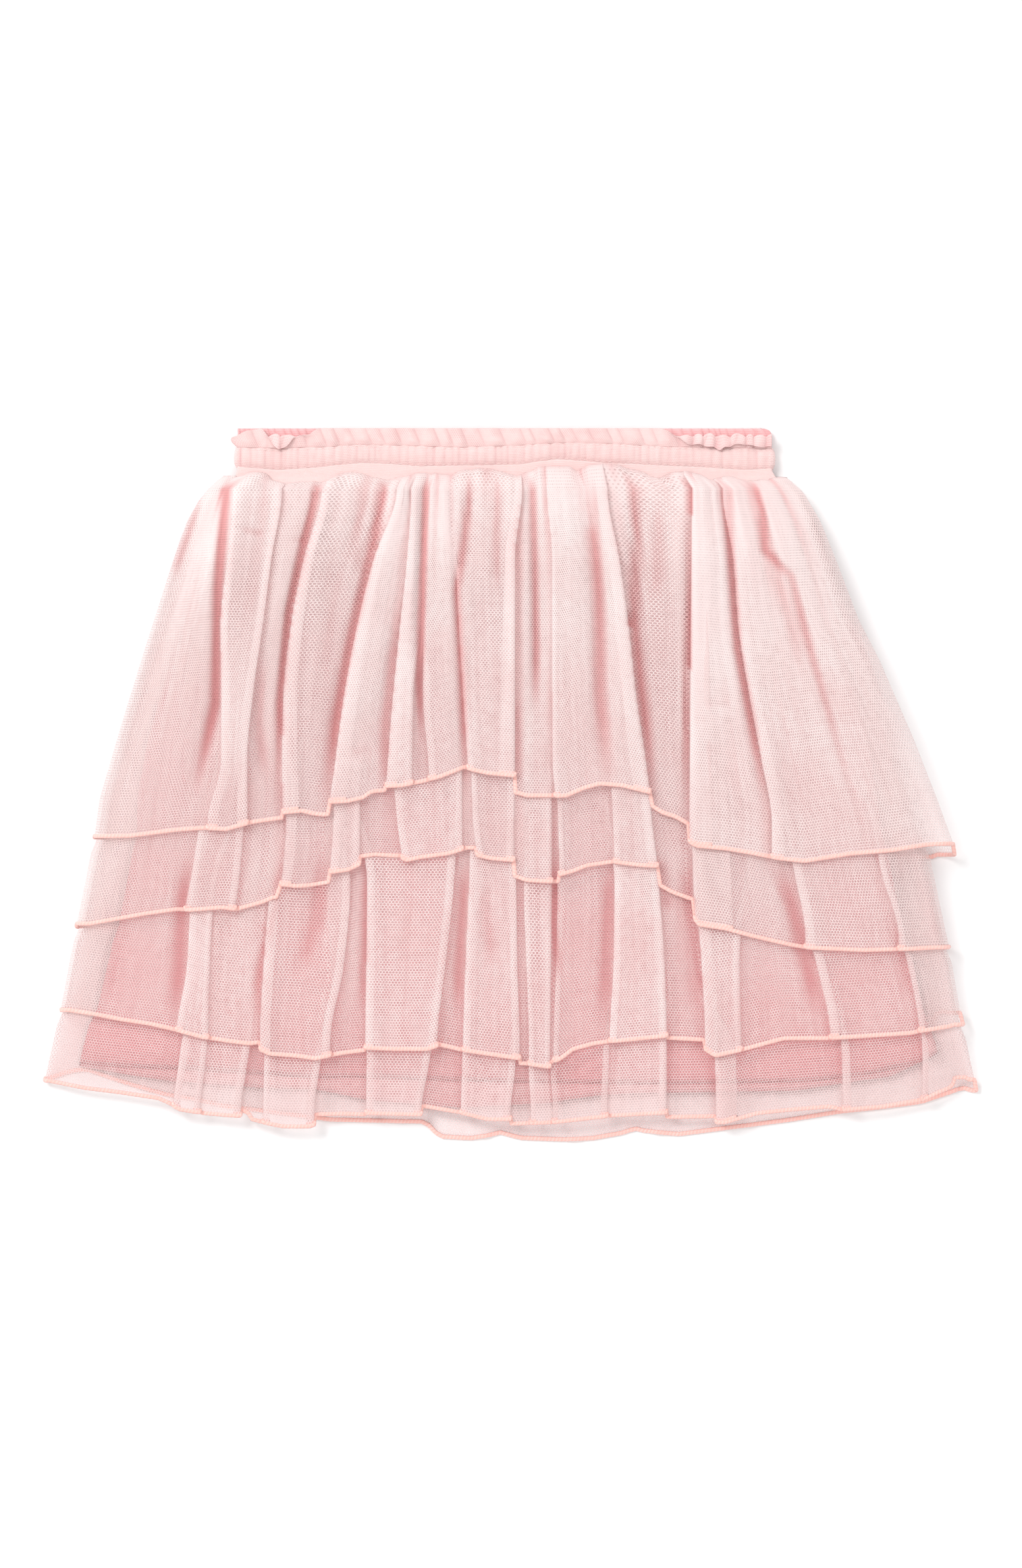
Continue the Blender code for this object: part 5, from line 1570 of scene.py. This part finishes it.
def thread_material(name, colour, light, pitch):
    """Overlock thread: turns of yarn across the edge, with a highlight painted on their crowns."""
    material, n, shader = new_material(name, 0.5, 0.3)
    cloth = n.cloth()
    parts = n.add("ShaderNodeSeparateXYZ", {0: cloth}).outputs
    slant = n.math("MULTIPLY_ADD", parts[1], 0.3, parts[0])
    turns = n.math("SINE", n.math("MULTIPLY", slant, 2.0 * np.pi / pitch))
    crowns = n.math("MULTIPLY_ADD", turns, 0.5, 0.5)
    share = n.math("MULTIPLY", crowns, n.patches(cloth, 0.12, 3.0, 0.35, 1.0))
    n.feed(shader, {
        "Base Color": n.blend(share, colour, light), "Normal": n.bump(turns, 0.00006, 0.4),
    })
    return material


def floor_material():
    material, n, shader = new_material("studio_floor", 0.95, 0.0)
    noise = n.noise(n.add("ShaderNodeTexCoord").outputs["Object"], 3.0, 2.0)
    n.feed(shader, {"Base Color": n.blend(noise, (0.93, 0.93, 0.93, 1.0), (0.95, 0.95, 0.95, 1.0))})
    return material


# ---- settings, operators and panel ---------------------------------------------

FLOOR_HALF = 4.0
FLOOR_Z = -0.0003
LAMP_SIZE = 2.4
LAMP_PLACE = (-3.4, 3.1, 4.8)
LENS = 150.0
SENSOR_WIDTH = 36.0


def colour_property(name, description, *screen):
    return bpy.props.FloatVectorProperty(
        name=name, description=description, default=linear(*screen), subtype="COLOR", size=4,
        min=0.0, max=1.0,
    )


class SkirtTulleSettings(bpy.types.PropertyGroup):
    """Net and thread of the tulle tiers."""

    mesh_pitch: bpy.props.FloatProperty(
        name="Net pitch", description="Width of one hole of the net", default=1.36 * MM,
        subtype="DISTANCE", unit="LENGTH", min=0.0005, max=0.004,
    )
    coverage: bpy.props.FloatProperty(
        name="Coverage", description="Share of a flat layer that is thread", default=0.33,
        subtype="FACTOR", min=0.1, max=0.9,
    )
    net_colour: colour_property("Net colour", "Colour of the net's threads", 244, 226, 224)
    net_shade: colour_property("Net shade", "Colour of the net where it varies", 241, 217, 215)
    # Painted shade: the colour that the net goes towards in valleys, creases and slits.
    fold_shade_colour: colour_property("Hollow colour", "Colour of the net deep in a fold", 226, 162, 161)
    thread_colour: colour_property("Hem thread", "Colour of the overlocked hems", 250, 191, 181)
    # Painted highlight on the crowns of the hem thread's turns.
    thread_highlight: colour_property("Hem thread light", "Colour of the thread's crowns", 253, 211, 203)


class SkirtJerseySettings(bpy.types.PropertyGroup):
    """Jersey of the lining and the waist."""

    lining_colour: colour_property("Lining", "Colour of the lining", 237, 162, 164)
    lining_shade: colour_property("Lining shade", "Colour of it where it varies", 232, 154, 157)
    waist_colour: colour_property("Waist", "Colour of casing and yoke", 250, 222, 219)
    waist_shade: colour_property("Waist shade", "Colour of the waist where it varies", 248, 216, 213)
    facing_colour: colour_property("Facing", "Colour of the inside of the back waist", 252, 196, 197)


class SkirtStageSettings(bpy.types.PropertyGroup):
    """Floor, light and camera."""

    camera_height: bpy.props.FloatProperty(
        name="Camera height", description="Height of the camera over the floor", default=3.08,
        subtype="DISTANCE", unit="LENGTH", min=0.5, max=10.0,
    )
    sky: bpy.props.FloatProperty(
        name="Sky", description="Strength of the even light from all round", default=0.95,
        min=0.0, max=5.0,
    )
    key_power: bpy.props.FloatProperty(
        name="Key light", description="Power of the large light at the top left", default=190.0,
        subtype="POWER", unit="POWER", min=0.0, max=5000.0,
    )


def finish_piece(piece, material, slot, nodes=()):
    """Gives a piece its material and body, and hides the nodes that it stands for.

    slot is not used.
    """
    piece.data.materials.append(material)
    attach(piece, "root")
    if nodes:
        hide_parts(*nodes)


def add_wall(piece, thickness, offset=0.0):
    """Gives a sheet its thickness, in mm."""
    wall = piece.modifiers.new("wall", "SOLIDIFY")
    wall.thickness = thickness * MM
    wall.offset = offset


def sewn_rows(name, places, material, slot, half_width, raised):
    """Stitches as a piece of the cloth that they hold."""
    rows = stitch_rows(name, *places, half_width, raised)
    rows.data.uv_layers.new(name="cloth")
    finish_piece(rows, material, slot)
    return rows


class SKIRT_OT_tulle(bpy.types.Operator):
    """Makes the four tulle tiers and the overlocked thread on each hem"""

    bl_idname = "skirt.tulle"
    bl_label = "Tulle tiers"

    def execute(self, context):
        settings = context.scene.skirt_tulle
        relief = front_relief()
        shades = front_shade(relief)
        net = net_material(settings)
        thread = thread_material(
            "hem_thread", tuple(settings.thread_colour), tuple(settings.thread_highlight), pitch=1.7
        )
        for tier in range(1, TIERS + 1):
            tube, layers = tier_tube(tier, relief)
            across, down = cloth_places(tube)
            layers = layers * crowding(tube, across)
            # The valleys also set how strong the painted shade of the net is.
            valleys, ridges = (sample_map(shade, tube[:, :, 0], tube[:, :, 1]) for shade in shades)
            # Past the lining, tier 4 gets more layers and a little painted shade.
            if tier == TIERS:
                past = past_lining(tube)
                layers = layers * (1.0 + PAST_LINING_LAYERS * past)
                valleys = np.maximum(valleys, PAST_LINING_SHADE * past)
            width, haze, second = thread_widths(tube, layers, settings.coverage, ridges, valleys)
            values = {"thread": width, "haze": haze, "second": second, "painted_shade": valleys}
            piece = make_piece(f"tulle_tier_{tier}", tube, True, across, down, values)
            nodes = [f"tulle_tier_{tier}_{face}" for face in ("front", "back")]
            finish_piece(piece, net, "tulle", nodes)
            edge = hem_thread(tier, tube)
            finish_piece(edge, thread, "tulle")
        return {"FINISHED"}


class SKIRT_OT_lining(bpy.types.Operator):
    """Makes the jersey lining with its stitched hem band"""

    bl_idname = "skirt.lining"
    bl_label = "Lining"

    def execute(self, context):
        settings = context.scene.skirt_jersey
        colour, shade = tuple(settings.lining_colour), tuple(settings.lining_shade)
        tube = lining_tube()
        across, down = cloth_places(tube)
        piece = make_piece("lining", tube, True, across, down)
        add_wall(piece, 0.6, -1.0)
        jersey = jersey_material(
            "lining_jersey", colour, shade, course=1.45, wale=0.8, depth=0.00012, contrast=0.42
        )
        finish_piece(piece, jersey, "lining", ("lining_front", "lining_back"))
        # The second colour is the highlight painted on the crowns of the stitches.
        sewing = thread_material("lining_thread", colour, linear(246, 172, 172), pitch=0.8)
        rows = [
            sewn_rows(
                f"lining_stitches_{face}", lining_stitches(face), sewing, "lining",
                half_width=0.24, raised=0.12,
            )
            for face in ("front", "back")
        ]
        return {"FINISHED"}


class SKIRT_OT_waist(bpy.types.Operator):
    """Makes the yoke strip and the shirred elastic casing"""

    bl_idname = "skirt.waist"
    bl_label = "Yoke and casing"

    def execute(self, context):
        settings = context.scene.skirt_jersey
        colour, shade = tuple(settings.waist_colour), tuple(settings.waist_shade)
        rows = yoke_ring()
        across, down = cloth_places(rows)
        yoke = make_piece("yoke", rows, True, across, down)
        add_wall(yoke, 0.7)
        knit = {"course": 0.8, "wale": 0.7, "contrast": 0.08}
        jersey = jersey_material("waist_jersey", colour, shade, depth=0.0001, **knit)
        finish_piece(yoke, jersey, "yoke", ("yoke_front", "yoke_back"))
        points, across, around, shade_mask = casing_ring()
        casing = make_piece("casing", points, True, across, around, {"painted_shade": shade_mask})
        jersey = jersey_material("casing_jersey", colour, shade, depth=0.00012, veil=0.3, **knit)
        finish_piece(casing, jersey, "casing", ("casing_front", "casing_back"))
        # The second colour is the highlight painted on the crowns of the stitches.
        sewing = thread_material("waist_thread", colour, linear(255, 226, 222), pitch=0.8)
        row = sewn_rows(
            "casing_stitches", casing_stitches(), sewing, "casing", half_width=0.22, raised=0.1
        )
        return {"FINISHED"}


class SKIRT_OT_frill(bpy.types.Operator):
    """Makes the heading frill, front and back, and the facing inside the back"""

    bl_idname = "skirt.frill"
    bl_label = "Frill and facing"

    def execute(self, context):
        settings = context.scene.skirt_jersey
        colour, shade = tuple(settings.waist_colour), tuple(settings.waist_shade)
        deep = tuple(settings.facing_colour)
        soft = jersey_material(
            "frill_jersey", colour, shade, course=0.8, wale=0.7, depth=0.00008, contrast=0.06,
            veil=0.7,
        )
        inside = jersey_material(
            "facing_jersey", deep, deep, course=0.9, wale=0.8, depth=0.0001, contrast=0.08
        )
        front = frill_sheet((22, 560), 7.4, 41, FRILL_PLAIN, FRILL_FLIPPED, FRILL_FLIP)
        back = frill_sheet((8, 300), 8.0, 42, FRILL_BACK)
        facing = frill_sheet((12, 420), 3.6, 43, FACING_BACK)
        pieces = (
            ("frill_front", front, soft, "frill"), ("frill_back", back, soft, "frill"),
            ("waist_facing_back", facing, inside, "facing"),
        )
        for name, (points, shade_mask), material, slot in pieces:
            if name != "frill_front":
                points[:, :, 2] = np.minimum(points[:, :, 2], points[:, :, 2].min() + BACK_PLEAT)
            across, down = cloth_places(points)
            across = across[: points.shape[1]]
            piece = make_piece(f"{name}_cloth", points, False, across, down, {"painted_shade": shade_mask})
            add_wall(piece, 0.55)
            finish_piece(piece, material, slot, (name,))
        return {"FINISHED"}


class SKIRT_OT_stage(bpy.types.Operator):
    """Sets the pale floor, soft light and the camera over the skirt"""

    bl_idname = "skirt.stage"
    bl_label = "Stage"

    def execute(self, context):
        scene = context.scene
        settings = scene.skirt_stage
        mesh = bpy.data.meshes.new("floor")
        low, high = -FLOOR_HALF, FLOOR_HALF
        corners = [(x, y, FLOOR_Z) for x, y in ((low, low), (high, low), (high, high), (low, high))]
        mesh.from_pydata(corners, [], [(0, 1, 2, 3)])
        mesh.materials.append(floor_material())
        link_object("floor", mesh)
        world = bpy.data.worlds.new("studio")
        world.use_nodes = True
        tree = world.node_tree
        Nodes(tree).feed(tree.nodes["Background"], {0: WHITE, 1: settings.sky})
        scene.world = world
        lamp = bpy.data.lights.new("key", "AREA")
        lamp.shape = "SQUARE"
        lamp.size = LAMP_SIZE
        lamp.energy = settings.key_power
        key = link_object("key", lamp)
        key.location = LAMP_PLACE
        key.rotation_euler = (-Vector(LAMP_PLACE)).to_track_quat("-Z", "Y").to_euler()
        lens = bpy.data.cameras.new("camera")
        lens.lens = LENS
        lens.sensor_width = SENSOR_WIDTH
        camera = link_object("camera", lens)
        camera.location = (0.0, 0.0, settings.camera_height)
        scene.camera = camera
        scene.view_settings.view_transform = "Standard"
        scene.cycles.transparent_max_bounces = 48
        scene.cycles.max_bounces = 8
        return {"FINISHED"}


class SKIRT_PT_panel(bpy.types.Panel):
    """Sizes, colours and pieces of the skirt"""

    bl_label = "Tulle skirt"
    bl_space_type = "VIEW_3D"
    bl_region_type = "UI"
    bl_category = "Skirt"

    def draw(self, context):
        for name in SETTINGS:
            box = self.layout.box()
            box.label(text=name.removeprefix("skirt_").capitalize())
            settings = getattr(context.scene, name)
            for key in settings.__annotations__:
                box.prop(settings, key)
        for operator in OPERATORS:
            self.layout.operator(operator.bl_idname)


OPERATORS = (SKIRT_OT_tulle, SKIRT_OT_lining, SKIRT_OT_waist, SKIRT_OT_frill, SKIRT_OT_stage)
SETTINGS = {
    "skirt_tulle": SkirtTulleSettings, "skirt_jersey": SkirtJerseySettings,
    "skirt_stage": SkirtStageSettings,
}
CLASSES = (*SETTINGS.values(), *OPERATORS, SKIRT_PT_panel)


def register():
    for item in CLASSES:
        bpy.utils.register_class(item)
    for name, group in SETTINGS.items():
        setattr(bpy.types.Scene, name, bpy.props.PointerProperty(type=group))


def unregister():
    for name in SETTINGS:
        delattr(bpy.types.Scene, name)
    for item in reversed(CLASSES):
        bpy.utils.unregister_class(item)


def main():
    register()
    bpy.ops.skirt.stage()
    bpy.ops.skirt.tulle()
    bpy.ops.skirt.lining()
    bpy.ops.skirt.waist()
    bpy.ops.skirt.frill()


if __name__ == "__main__":
    main()
